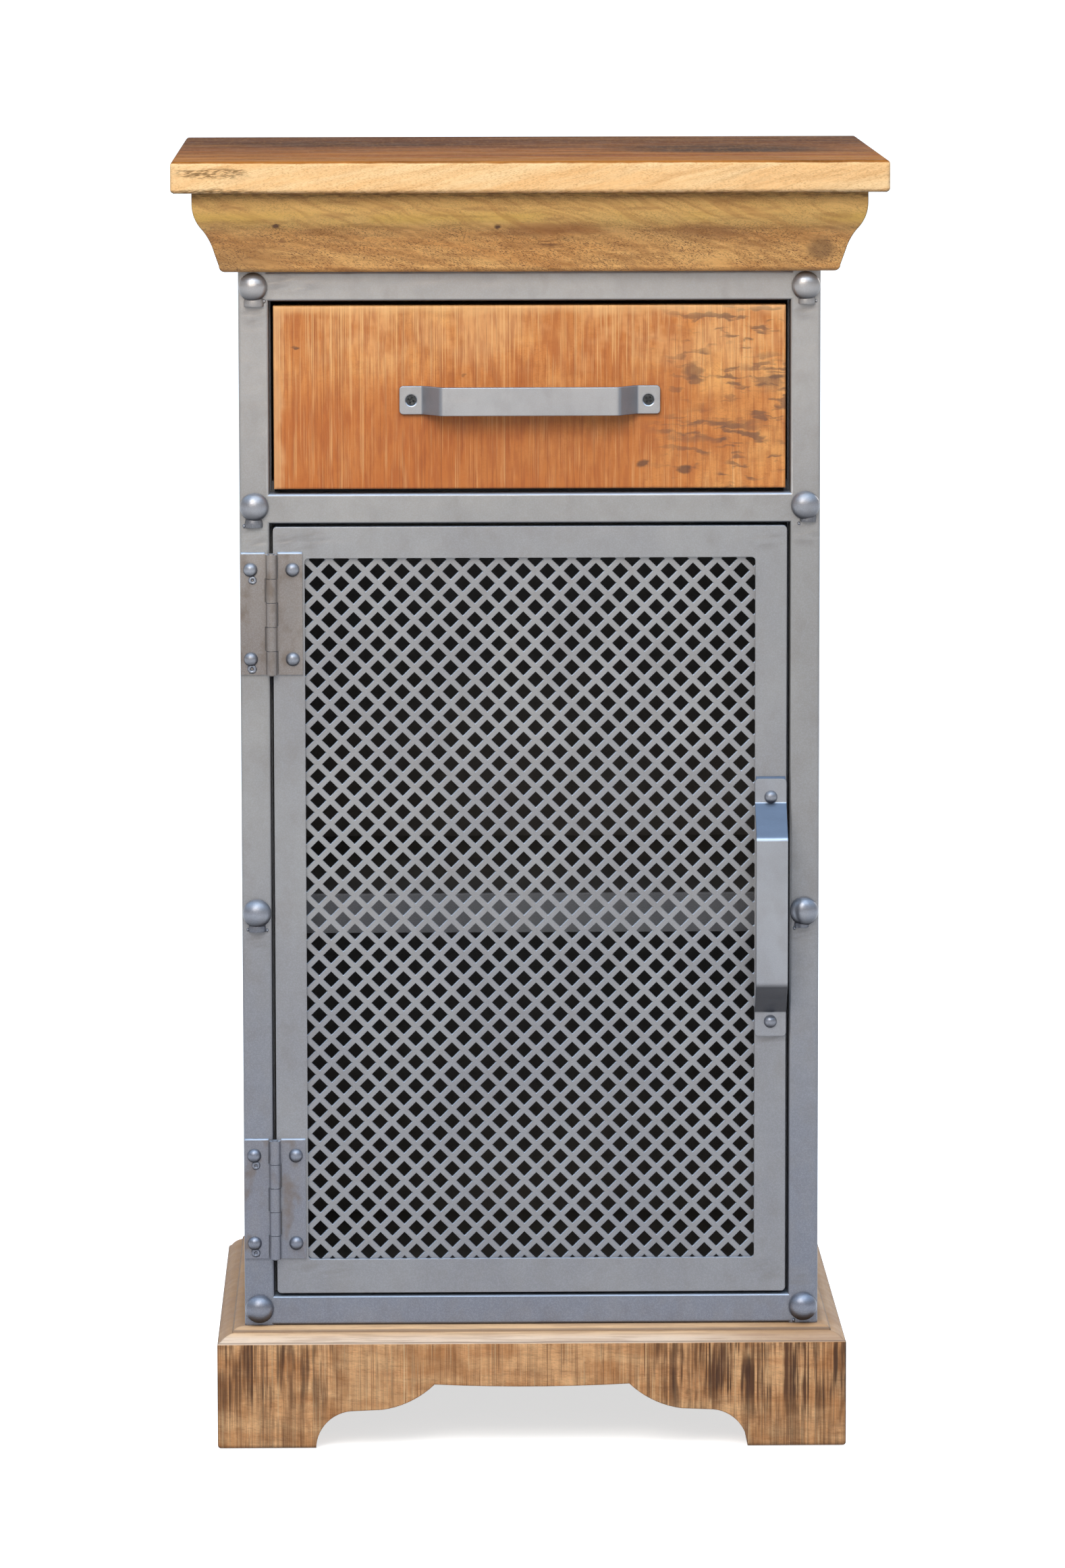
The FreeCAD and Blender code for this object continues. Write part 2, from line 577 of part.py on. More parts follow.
# Flat-bar pulls
def make_pull(name, role):
    """A flat bar bent to a low bridge: foot, slope, grip, slope, foot. The bar's back is
    at 0, its middle at 0 along its length, and its width runs from the sketch plane."""
    long, foot, run = f"{name}_long / 2", f"{name}_foot", f"{name}_run"
    clear, thick = f"{name}_clear", f"{name}_thick"
    shift = f"{thick} * tan(atan({clear} / {run}) / 2)"
    back = [(f"-{long}", "0"), (f"-{long} + {foot}", "0"), (f"-{long} + {foot} + {run}", f"-{clear}")]
    face = [(f"-{long}", f"-{thick}"), (f"-{long} + {foot} - {shift}", f"-{thick}"),
            (f"-{long} + {foot} + {run} - {shift}", f"-{clear} - {thick}")]

    def mirrored(points):
        return [(f"-1 * ({along})", out) for along, out in reversed(points)]

    outline = back + mirrored(back) + list(reversed(mirrored(face))) + list(reversed(face))
    flat = role == "XY_Plane"
    body = new_body(name)
    sketch = new_sketch(body, role)
    draw(sketch, [(along, out) if flat else (out, along) for along, out in outline])
    pad(body, sketch, f"{name}_wide")

    def spot(edge):
        middle = edge.BoundBox.Center
        return (middle.x, middle.y) if flat else (middle.z, middle.y)

    def runs_across(edge):
        size = edge.BoundBox
        return (size.ZLength if flat else size.XLength) > value(f"{name}_wide") - SAME

    def is_near(edge, points):
        along, out = spot(edge)
        return any(math.hypot(along - value(a), out - value(b)) < SAME for a, b in points)

    inside = [face[1], back[2]] + mirrored([face[1], back[2]])
    outside = [back[1], face[2]] + mirrored([back[1], face[2]])
    dress(body, "Fillet", edges_where(body, lambda edge: runs_across(edge) and is_near(edge, inside)),
          "Radius", "pull_bend")
    dress(body, "Fillet", edges_where(body, lambda edge: runs_across(edge) and is_near(edge, outside)),
          "Radius", f"pull_bend + {thick}")

    def is_end_corner(edge):
        is_thickness = abs(edge.BoundBox.YLength - value(thick)) < SAME and not runs_across(edge)
        return is_thickness and abs(abs(spot(edge)[0]) - value(long)) < SAME

    dress(body, "Fillet", edges_where(body, is_end_corner), "Radius", "pull_corner")
    sketch = new_sketch(body, "XZ_Plane", f"{thick} + cut_margin")
    for sign in ("-", "+"):
        along, across = f"({sign}1) * {name}_holes / 2", f"{name}_wide / 2"
        draw_circle(sketch, *((along, across) if flat else (across, along)), "pull_hole_wide / 2")
    pocket(body, sketch, f"{thick} + 2 * cut_margin")
    return keep(body)


def make_pulls():
    body = make_pull("drawer_pull", "XY_Plane")

    def is_hole_rim(edge):
        size = edge.BoundBox
        is_front = size.YLength < SAME and abs(size.YMin + value("drawer_pull_thick")) < SAME
        return is_front and abs(size.XLength - value("pull_hole_wide")) < SAME

    dress(body, "Chamfer", edges_where(body, is_hole_rim), "Size",
          "(screw_sink_wide - pull_hole_wide) / 2")
    place(body, "0", "front", "drawer_pull_height - drawer_pull_wide / 2")
    body = make_pull("door_pull", "YZ_Plane")
    place(body, "half_opening - door_gap - door_flange / 2 - door_pull_wide / 2", "front",
          "door_pull_height")


# Drawer
def make_drawer():
    body = new_body("drawer_front")
    sketch = new_sketch(body, "XZ_Plane")
    draw_rectangle(sketch, "-drawer_wide / 2", "0", "drawer_wide / 2", "drawer_front_tall")
    pad(body, sketch, "drawer_front_thick", reverse=True)
    dress(body, "Fillet", edges_where(body, lambda edge: edge.BoundBox.YMax < SAME),
          "Radius", "drawer_front_round")
    sketch = new_sketch(body, "XZ_Plane", "-drawer_front_thick")
    low = "(drawer_lift + drawer_bottom_up)"
    edge_x = "(box_half - drawer_side_thick + groove_deep)"
    draw_rectangle(sketch, f"-1 * {edge_x}", low, edge_x, f"{low} + drawer_bottom_thick")
    pocket(body, sketch, "groove_deep", reverse=True)
    sketch = new_sketch(body, "XZ_Plane")
    for sign in ("-", "+"):
        draw_circle(sketch, f"({sign}1) * drawer_pull_holes / 2", "drawer_pull_height - drawer_low",
                    "screw_pilot_wide / 2")
    pocket(body, sketch, "screw_pilot_deep")
    keep(place(body, "0", "front", "drawer_low"))

    for label, out in (("drawer_side_left", "-"), ("drawer_side_right", "+")):
        body = new_body(label)
        sketch = new_sketch(body, "XZ_Plane")
        inner, groove = f"-({out}1) * drawer_side_thick", f"-({out}1) * (drawer_side_thick - groove_deep)"
        high = "drawer_bottom_up + drawer_bottom_thick"
        draw(sketch, [("0", "0"), (inner, "0"), (inner, "drawer_bottom_up"), (groove, "drawer_bottom_up"),
                      (groove, high), (inner, high), (inner, "drawer_side_tall"),
                      ("0", "drawer_side_tall")])
        pad(body, sketch, "drawer_side_long", reverse=True)
        keep(place(body, f"({out}1) * box_half", "box_front", "box_low"))
    inside = "(box_half - drawer_side_thick)"
    floor = "box_low + drawer_bottom_up"
    box("drawer_bottom", f"-1 * {inside} - groove_deep + groove_play",
        "box_front - groove_deep + groove_play", floor,
        f"2 * ({inside} + groove_deep - groove_play)",
        "drawer_side_long + groove_deep - groove_play", "drawer_bottom_thick")
    box("drawer_back", f"-1 * {inside}", "box_front + drawer_side_long - drawer_side_thick",
        f"{floor} + drawer_bottom_thick", f"2 * {inside}", "drawer_side_thick",
        "drawer_side_tall - drawer_bottom_up - drawer_bottom_thick - drawer_back_low")

    for label, out in (("runner_left", "-"), ("runner_right", "+")):
        body = new_body(label)
        sketch = new_sketch(body, "XZ_Plane")
        leg, steel = f"-({out}1) * runner_leg", f"-({out}1) * runner_steel"
        draw(sketch, [("0", "0"), ("0", "-runner_leg"), (steel, "-runner_leg"),
                      (steel, "-runner_steel"), (leg, "-runner_steel"), (leg, "0")])
        pad(body, sketch, "box_front + drawer_side_long - front_inner - slide_gap", reverse=True)
        keep(place(body, f"({out}1) * half_inside", "front_inner + slide_gap", "box_low - slide_gap"))


# Door
def make_door_member(label, face, leg, bores=()):
    """Angle steel with mitred ends: its face outline, then the leg along its outer edge."""
    body = new_body(label)
    sketch = new_sketch(body, "XZ_Plane")
    draw(sketch, face)
    pad(body, sketch, "door_steel", reverse=True)
    sketch = new_sketch(body, "XZ_Plane")
    draw(sketch, leg)
    pad(body, sketch, "door_leg", reverse=True)
    if bores:
        sketch = new_sketch(body, "XZ_Plane", "cut_margin")
        for x, z in bores:
            draw_circle(sketch, x, z, "pull_hole_wide / 2")
        pocket(body, sketch, "door_steel + 2 * cut_margin")
    keep(place(body, "-door_wide / 2", "front", "door_low"))


def make_door():
    wide, tall = "door_wide", "door_tall"
    slope = "door_bottom_flange / door_flange"

    def outline(side, kind):
        across, up, down = "door_flange", "door_bottom_flange", "door_flange"
        if kind == "leg":
            across, up, down = "door_steel", f"door_steel * {slope}", "door_steel"
            if side == "bottom":
                across, up = f"door_steel / ({slope})", "door_steel"
        right, top = f"{wide} - {across}", f"{tall} - {down}"
        return {
            "left": [("0", "0"), (across, up), (across, top), ("0", tall)],
            "right": [(wide, "0"), (wide, tall), (right, top), (right, up)],
            "top": [("0", tall), (across, top), (right, top), (wide, tall)],
            "bottom": [("0", "0"), (wide, "0"), (right, up), (across, up)],
        }[side]

    pull_bores = [("door_wide - door_flange / 2",
                   f"door_pull_height {sign} door_pull_holes / 2 - door_low") for sign in ("-", "+")]
    for label, side, bores in (("door_stile_left", "left", ()), ("door_stile_right", "right", pull_bores),
                               ("door_rail_top", "top", ()), ("door_rail_bottom", "bottom", ())):
        make_door_member(label, outline(side, "face"), outline(side, "leg"), bores)


def make_mesh():
    """The perforated sheet behind the door's flanges: square holes set on their corners."""
    half_wide = value("door_wide / 2 - door_steel - mesh_play")
    half_tall = value("door_tall / 2 - door_steel - mesh_play")
    pitch, hole = value("mesh_pitch"), value("mesh_hole")
    window_wide = value("door_wide / 2 - door_flange")
    window_tall = value("door_tall / 2 - door_flange")
    border = value("mesh_border")

    def closed_wire(corners):
        return Part.makePolygon([FreeCAD.Vector(x, 0, z) for x, z in corners + corners[:1]])

    wires = [closed_wire([(-half_wide, -half_tall), (half_wide, -half_tall),
                          (half_wide, half_tall), (-half_wide, half_tall)])]
    rows = int(half_tall / (pitch / 2))
    columns = int(half_wide / pitch) + 1
    reach = hole / 2
    for row in range(-rows, rows + 1):
        for column in range(-columns, columns + 1):
            x = (column + (0.5 if row % 2 else 0)) * pitch
            z = row * pitch / 2
            shows = abs(x) - reach < window_wide and abs(z) - reach < window_tall
            fits_in = abs(x) + reach < half_wide - border and abs(z) + reach < half_tall - border
            if shows and fits_in:
                wires.append(closed_wire([(x - reach, z), (x, z - reach), (x + reach, z), (x, z + reach)]))
    face = Part.makeFace(wires, "Part::FaceMakerBullseye")
    node = doc.addObject("Part::Feature", "door_mesh")
    node.Label = "door_mesh"
    node.Shape = face.extrude(FreeCAD.Vector(0, value("mesh_sheet"), 0))
    node.Placement.Base = FreeCAD.Vector(0, value("front + door_steel"), value("door_low + door_tall / 2"))
    keep(node)
    print("mesh holes", len(wires) - 1)


# Hinges
def make_leaf(label, out, own_first):
    """One hinge leaf on its pin axis: a plate, notched for the other leaf's knuckles,
    with its own knuckles bored for the pin. It lies on the out side of the axis."""
    body = new_body(label)
    sketch = new_sketch(body, "XY_Plane")
    edge_x = f"({out}1) * leaf_wide"
    draw_rectangle(sketch, "0", "-leaf_thick", edge_x, "0")
    pad(body, sketch, "hinge_tall")
    count = int(value("knuckle_count"))
    own = range(0 if own_first else 1, count, 2)
    sketch = new_sketch(body, "XZ_Plane", "leaf_thick + cut_margin")
    for number in range(1 if own_first else 0, count, 2):
        start, stop = f"{number} * knuckle_long", f"{number + 1} * knuckle_long"
        if number == 0:
            start += " - cut_margin"
        if number == count - 1:
            stop += " + cut_margin"
        draw_rectangle(sketch, f"-({out}1) * cut_margin", start,
                       f"({out}1) * (knuckle_wide / 2 + knuckle_clear)", stop)
    pocket(body, sketch, "leaf_thick + 2 * cut_margin")
    for number in own:
        sketch = new_sketch(body, "XY_Plane", f"{number} * knuckle_long + knuckle_gap / 2")
        draw_circle(sketch, "0", "-knuckle_wide / 2", "knuckle_wide / 2")
        pad(body, sketch, "knuckle_long - knuckle_gap")
    sketch = new_sketch(body, "XY_Plane", "-cut_margin")
    draw_circle(sketch, "0", "-knuckle_wide / 2", "pin_wide / 2 + pin_fit")
    pocket(body, sketch, "hinge_tall + 2 * cut_margin", reverse=True)
    doc.recompute()
    return body


def make_hinges():
    """Two butt hinges. The lower one is turned over, so its knuckles alternate the other way."""
    low = {"upper": "upper_hinge_low", "lower": "lower_hinge_low"}
    for label, out in (("hinge_frame_leaves", "-"), ("hinge_door_leaves", "+")):
        members = []
        for place_name in low:
            own_first = (place_name == "upper") == (out == "-")
            leaf = make_leaf(f"{place_name}_{label}", out, own_first)
            members.append((leaf, ("pin_x", "front", low[place_name])))
        make_group(label, members)
    pin = doc.addObject("Part::Cylinder", "pin")
    pin.setExpression("Radius", bind("pin_wide / 2"))
    pin.setExpression("Height", bind("hinge_tall + 2 * pin_proud"))
    doc.recompute()
    make_group("hinge_pins", [(pin, ("pin_x", "pin_y", f"{z} - pin_proud")) for z in low.values()])


def make_catch():
    """Magnetic catch on the back of the middle rail, which the closed door's top leg meets."""
    body = new_body("magnet_catch")
    sketch = new_sketch(body, "YZ_Plane")
    seat = "(door_leg - tube + slide_gap)"
    draw(sketch, [("0", "-slide_gap"), ("0", "tube - tube_soft"), ("catch_deep", "tube - tube_soft"),
                  ("catch_deep", "-catch_hang"), (seat, "-catch_hang"), (seat, "-slide_gap")])
    pad(body, sketch, "catch_wide")
    keep(place(body, "half_opening - catch_from_post - catch_wide", "front_inner", "mid_rail_low"))


make_top_board()
make_cornice()
make_plinth()
make_frame()
make_lining()
make_frame_rivets()
make_pulls()
make_drawer()
make_door()
make_mesh()
make_hinges()
make_catch()
doc.recompute()

# Checks before anything is written
for thing in doc.Objects:
    if "Invalid" in thing.State or "Error" in thing.State:
        raise RuntimeError(f"{thing.Label} did not build: {thing.State}")
for piece in parts:
    if piece.Shape.isNull() or not piece.Shape.isValid():
        raise RuntimeError(f"{piece.Label} has no valid shape")

os.makedirs("parts", exist_ok=True)
for piece in parts:
    piece.Shape.exportStep(os.path.join("parts", piece.Label + ".step"))
    print(piece.Label, len(piece.Shape.Solids), round(piece.Shape.Volume / 1000, 2), "cm3")
print(len(parts), "nodes")
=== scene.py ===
# %% [markdown]
# The object is a narrow side cabinet: a mango-wood top on a moulded cornice, a welded
# frame of square steel tube, a rough-sawn drawer, a steel door with a perforated sheet,
# and a bracket plinth. The CAD frame already has every board and tube at its true place,
# so this lesson keeps those shapes, softens the ones whose edges the hand would notice,
# adds what CAD leaves out (the real pitch of the sheet, rivets, welds, screws) and gives
# each surface a finish built from nodes.

# %% Load the frame
import json
import math

import bpy
from mathutils import Matrix, Vector


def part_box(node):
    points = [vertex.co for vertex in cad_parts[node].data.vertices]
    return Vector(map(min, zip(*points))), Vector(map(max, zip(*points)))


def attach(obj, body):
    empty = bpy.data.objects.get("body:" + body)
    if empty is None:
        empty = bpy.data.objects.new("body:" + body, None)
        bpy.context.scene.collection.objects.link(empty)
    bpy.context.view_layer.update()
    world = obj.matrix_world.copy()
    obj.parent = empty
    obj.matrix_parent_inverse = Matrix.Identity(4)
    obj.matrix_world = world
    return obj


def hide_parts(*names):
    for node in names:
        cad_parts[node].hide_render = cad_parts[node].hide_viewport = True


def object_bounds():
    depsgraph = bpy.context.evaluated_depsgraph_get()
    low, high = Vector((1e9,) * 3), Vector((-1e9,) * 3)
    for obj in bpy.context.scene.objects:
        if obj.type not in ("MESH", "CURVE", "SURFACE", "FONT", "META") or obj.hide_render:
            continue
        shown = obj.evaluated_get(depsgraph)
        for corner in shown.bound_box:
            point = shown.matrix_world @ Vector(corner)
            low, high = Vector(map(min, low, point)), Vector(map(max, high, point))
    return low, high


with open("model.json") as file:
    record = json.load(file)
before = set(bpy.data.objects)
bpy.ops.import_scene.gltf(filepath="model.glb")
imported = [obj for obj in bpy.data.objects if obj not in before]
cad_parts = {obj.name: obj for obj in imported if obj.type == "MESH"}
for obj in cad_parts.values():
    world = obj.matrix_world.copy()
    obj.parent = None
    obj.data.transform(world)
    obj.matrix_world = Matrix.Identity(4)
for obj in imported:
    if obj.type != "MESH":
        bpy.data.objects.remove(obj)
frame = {"nodes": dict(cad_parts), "record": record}
cad_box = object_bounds()
nodes = frame["nodes"]
slot_of = {part["node"]: part["material_slot"] for part in frame["record"]["subparts"]}
body_of = {name: body for body, names in frame["record"]["behaviour"]["bodies"].items() for name in names}
MM = 0.001
print("nodes", len(nodes), "box", [round(v, 3) for v in (*cad_box[0], *cad_box[1])])

# %% [markdown]
# The camera stands where the photograph was taken: about 4.8 m in front, a little to the
# left, a metre up, looking slightly down. A long lens keeps the verticals nearly parallel.
# The turn is made as a matrix, first the heading, then the downward tilt, then the roll,
# because Euler angles typed by hand are easy to put in the wrong order.

# %% Camera
PICTURE_TALL = 2324
FOCAL_PIXELS = 10962.5
SENSOR = 36.0
EYE_AT = (-0.0806, -4.8034, 1.0429)
HEADING, TILT, ROLL = -1.005, 90 - 7.51, -0.10      # degrees
FARTHEST = 400.0
eye = bpy.data.cameras.new("camera")
eye.sensor_width = SENSOR
eye.lens = SENSOR * FOCAL_PIXELS / PICTURE_TALL
eye.clip_end = FARTHEST
camera = bpy.data.objects.new("camera", eye)
bpy.context.scene.collection.objects.link(camera)
heading = Matrix.Rotation(math.radians(HEADING), 4, "Z")
tilt = Matrix.Rotation(math.radians(TILT), 4, "X")
roll = Matrix.Rotation(math.radians(ROLL), 4, "Z")
camera.matrix_world = Matrix.Translation(EYE_AT) @ heading @ tilt @ roll
bpy.context.scene.camera = camera
print("lens", round(eye.lens, 1), "mm")

# %% [markdown]
# Colours are written as sRGB hex values, as a paint card gives them, and one function
# turns them into the linear values that the renderer works with. One small function adds
# a node: its settings by name, and what goes into each socket: a value, a hex colour or
# another node's socket.

# %% Colours and nodes


def linear(code):
    """A paint-card colour such as #A09C98 as linear red, green, blue and alpha."""
    parts = [int(code[i:i + 2], 16) / 255 for i in (1, 3, 5)]
    return (*[c / 12.92 if c <= 0.04045 else ((c + 0.055) / 1.055) ** 2.4 for c in parts], 1.0)


def add(tree, kind, links=None, stops=(), **settings):
    """Adds one node with its settings, fills or links its sockets, and gives its outputs."""
    node = tree.nodes.new("ShaderNode" + kind)
    for name, value in settings.items():
        setattr(node, name, value)
    for socket, value in (links or {}).items():
        if isinstance(value, bpy.types.NodeSocket):
            tree.links.new(value, node.inputs[socket])
        else:
            node.inputs[socket].default_value = linear(value) if isinstance(value, str) else value
    for i, (at, colour) in enumerate(stops):
        stop = node.color_ramp.elements[i] if i < 2 else node.color_ramp.elements.new(at)
        stop.position = at
        stop.color = colour
    return node.outputs


def tree_of(*values):
    """The node tree that the first linked value belongs to."""
    return next(value.id_data for value in values if isinstance(value, bpy.types.NodeSocket))


def ease(value, low, high, share=1.0, start=0.0):
    """Goes softly from start, where a value is low, to share, where it is high."""
    return add(tree_of(value), "MapRange", {"Value": value, "From Min": low, "From Max": high,
                                            "To Min": start, "To Max": share},
               interpolation_type="SMOOTHSTEP")[0]


def folded(operation):
    """Makes a function that adds, multiplies or compares any number of values."""
    def fold(first, *others):
        tree = tree_of(first, *others)
        for other in others:
            first = add(tree, "Math", {0: first, 1: other}, operation=operation)[0]
        return first
    return fold


times, total, most = folded("MULTIPLY"), folded("ADD"), folded("MAXIMUM")


def looked_at(tree):
    """1 for what the camera, a glossy surface or a clear one sees, 0 for all other light."""
    path = add(tree, "LightPath")
    return most(path["Is Camera Ray"], path["Is Glossy Ray"], path["Is Transmission Ray"])


print("mid grey", [round(v, 3) for v in linear("#808080")])

# %% [markdown]
# The studio is a wide pale floor under a soft sky, with a large lamp in front, a cool one
# above it and a weaker one behind. The sky is pale blue overhead and warm near the
# horizon, which gives painted steel cool upper edges; the lacquer adds a painted sky
# reflection on faces that look up. The floor has to look white and still take a shadow:
# for the camera, and for glossy and clear surfaces, it glows a little and is shaded on top
# of that, and for all other light it is a plain mid grey. The lowest part of the sky is
# white in the same way, so no horizon shows when the camera stands low.

# %% Floor
FLOOR_WIDE = 160.0
FLOOR_GAP = 0.4 * MM
bpy.ops.object.select_all(action="DESELECT")
bpy.ops.mesh.primitive_plane_add(size=FLOOR_WIDE, location=(0, 0, -FLOOR_GAP))
floor = bpy.context.object
floor.name = "studio_floor"
floor_paint = bpy.data.materials.new("Pale studio floor")
floor_paint.use_nodes = True
tree = floor_paint.node_tree
tree.nodes.clear()
dull = add(tree, "BsdfDiffuse", {"Color": "#737A86"})
glow = add(tree, "Emission", {"Color": (1, 1, 1, 1), "Strength": 0.66})
shade = add(tree, "BsdfDiffuse", {"Color": (0.80, 0.78, 0.74, 1)})
white = add(tree, "AddShader", {0: glow[0], 1: shade[0]})
both = add(tree, "MixShader", {0: looked_at(tree), 1: dull[0], 2: white[0]})
add(tree, "OutputMaterial", {"Surface": both[0]})
floor.data.materials.append(floor_paint)
print("floor", FLOOR_WIDE, "m wide")

# %% Sky
world = bpy.data.worlds.new("studio")
bpy.context.scene.world = world
world.use_nodes = True
tree = world.node_tree
tree.nodes.clear()
toward = add(tree, "TexCoord")["Generated"]
height = add(tree, "SeparateXYZ", {0: toward})["Z"]
sky = add(tree, "ValToRGB", {0: height}, stops=(
    (0.0, (0.79, 0.76, 0.72, 1)), (0.35, (0.74, 0.76, 0.80, 1)), (0.75, (0.56, 0.75, 1.0, 1))))
bright = ease(height, 0.15, 0.85, 1.3, start=0.66)
lit = add(tree, "Background", {"Color": sky[0], "Strength": bright})
low_sky = ease(height, 0.20, 0.13)
haze = times(looked_at(tree), low_sky)
pale = add(tree, "Background", {"Color": (1, 1, 1, 1), "Strength": 1.0})
both = add(tree, "MixShader", {0: haze, 1: lit[0], 2: pale[0]})
add(tree, "OutputWorld", {"Surface": both[0]})
print("sky ready")

# %% Lamps


def softbox(name, place, aim, wide, power, colour):
    """A square studio lamp at a place, turned to an aim."""
    lamp = bpy.data.lights.new(name, "AREA")
    lamp.size = wide
    lamp.energy = power
    lamp.color = colour
    box = bpy.data.objects.new(name, lamp)
    bpy.context.scene.collection.objects.link(box)
    way = Vector(aim) - Vector(place)
    box.matrix_world = Matrix.Translation(place) @ way.to_track_quat("-Z", "Y").to_matrix().to_4x4()


softbox("lamp_front", (-0.5, -1.9, 1.7), (0, 0, 0.6), 1.1, 24.3, (1.0, 0.94, 0.87))
softbox("lamp_above", (0.15, -1.1, 2.2), (0, 0, 0.6), 1.9, 20, (0.78, 0.89, 1.0))
softbox("lamp_behind", (1.3, 2.0, 1.4), (0, 0, 0.45), 1.2, 16, (1.0, 0.93, 0.85))
bpy.context.scene.view_settings.view_transform = "Standard"
print("lamps ready")

# %% [markdown]
# Every finish here is made of marks: grains, specks, saw lines, stains. One function
# makes soft-edged marks of a size given in millimetres, from noise that is stretched to
# that size; another makes a single round spot at a place, for a knot. The patterns read
# Object coordinates in millimetres, so they stay put on the boards and tubes. Boards that
# run from front to back turn the pattern by a quarter, so the grain follows the board.

# %% Pattern helpers


def begin(name, turned=False):
    """A new material, and the place on the piece in millimetres."""
    material = bpy.data.materials.new(name)
    material.use_nodes = True
    tree = material.node_tree
    tree.nodes.clear()
    here = add(tree, "TexCoord")["Object"]
    place = add(tree, "Mapping", {"Vector": here, "Rotation": (0, 0, math.pi / 2 if turned else 0),
                                  "Scale": (1 / MM, 1 / MM, 1 / MM)})[0]
    return material, place


def marks(place, size, low, high, share=1.0, detail=2.0, lean=0.0, shift=0.0, rough=0.5):
    """Marks of about a size in mm: 0 where the noise is under low, share where it is over high."""
    tree = tree_of(place)
    own = add(tree, "Mapping", {
        "Vector": place, "Location": (shift, 0.37 * shift, 0.61 * shift),
        "Rotation": (0, math.radians(lean), 0), "Scale": size}, vector_type="TEXTURE")
    cloud = add(tree, "TexNoise", {"Vector": own[0], "Scale": 1.0, "Detail": detail, "Roughness": rough})
    return ease(cloud[0], low, high, share)


def spot(place, centre, size, share=1.0, inner=0.35):
    """One soft spot: centre and half sizes in mm."""
    tree = tree_of(place)
    own = add(tree, "Mapping", {"Vector": place, "Location": centre, "Scale": size},
              vector_type="TEXTURE")
    away = add(tree, "VectorMath", {0: own[0]}, operation="LENGTH")["Value"]
    return ease(away, 1.0, inner, share)


def band(place, axis, first, last, share=1.0):
    """0 at first, share at last along an axis in mm, and soft between."""
    return ease(add(tree_of(place), "SeparateXYZ", {0: place})[axis], first, last, share)


def coats(base, *coats_over):
    """Lays colours over a base, each with the share that shows."""
    tree = tree_of(base, *[share for colour, share in coats_over])
    for colour, share in coats_over:
        base = add(tree, "Mix", {0: share, 6: base, 7: colour}, data_type="RGBA")[2]
    return base


def shaken(place, size, reach):
    """The place moved about by noise, so that edges of marks wander like grain."""
    tree = tree_of(place)
    scaled = add(tree, "VectorMath", {0: place, 1: [1 / s for s in size]}, operation="MULTIPLY")[0]
    cloud = add(tree, "TexNoise", {"Vector": scaled, "Scale": 1.0, "Detail": 2.0})
    off = add(tree, "VectorMath", {0: cloud["Color"], 1: (0.5, 0.5, 0.5)}, operation="SUBTRACT")[0]
    return add(tree, "VectorMath", {0: off, 1: reach, 2: place}, operation="MULTIPLY_ADD")[0]


def close(material, colour, relief, roughness, edge, metallic=0.0, specular=0.5):
    """Ends a material: relief in mm, and an edge radius in mm that rounds corners in the light."""
    tree = material.node_tree
    soft = add(tree, "Bevel", {"Radius": edge * MM}, samples=6)[0]
    bump = add(tree, "Bump", {"Height": relief, "Distance": MM, "Normal": soft})[0]
    surface = add(tree, "BsdfPrincipled", {
        "Base Color": colour, "Roughness": roughness, "Normal": bump, "Metallic": metallic,
        "Specular IOR Level": specular})
    add(tree, "OutputMaterial", {"Surface": surface[0]})
    return material


print("pattern helpers ready")

# %% [markdown]
# The steel is mild-steel tube and flat bar, welded and sprayed with a silver-grey lacquer
# that has fine metal flake in it. The eye reads it as satin: a soft sheen, a sandy grain,
# a few specks of dirt under the paint, and slow changes of tone along a tube. The flake
# makes it partly metallic; the lacquer keeps it rough. The flake is drawn about three
# times its size, 0.7 mm, so that it shows. Light and shade are also painted into the
# colour: darker and bluer towards the floor, warmer and paler near the top, painted shade
# on faces that look down or sideways, and a painted sky reflection on faces that look up.

# %% Silver lacquer on steel


def unsigned(value):
    """A value without its sign."""
    return add(tree_of(value), "Math", {0: value}, operation="ABSOLUTE")[0]


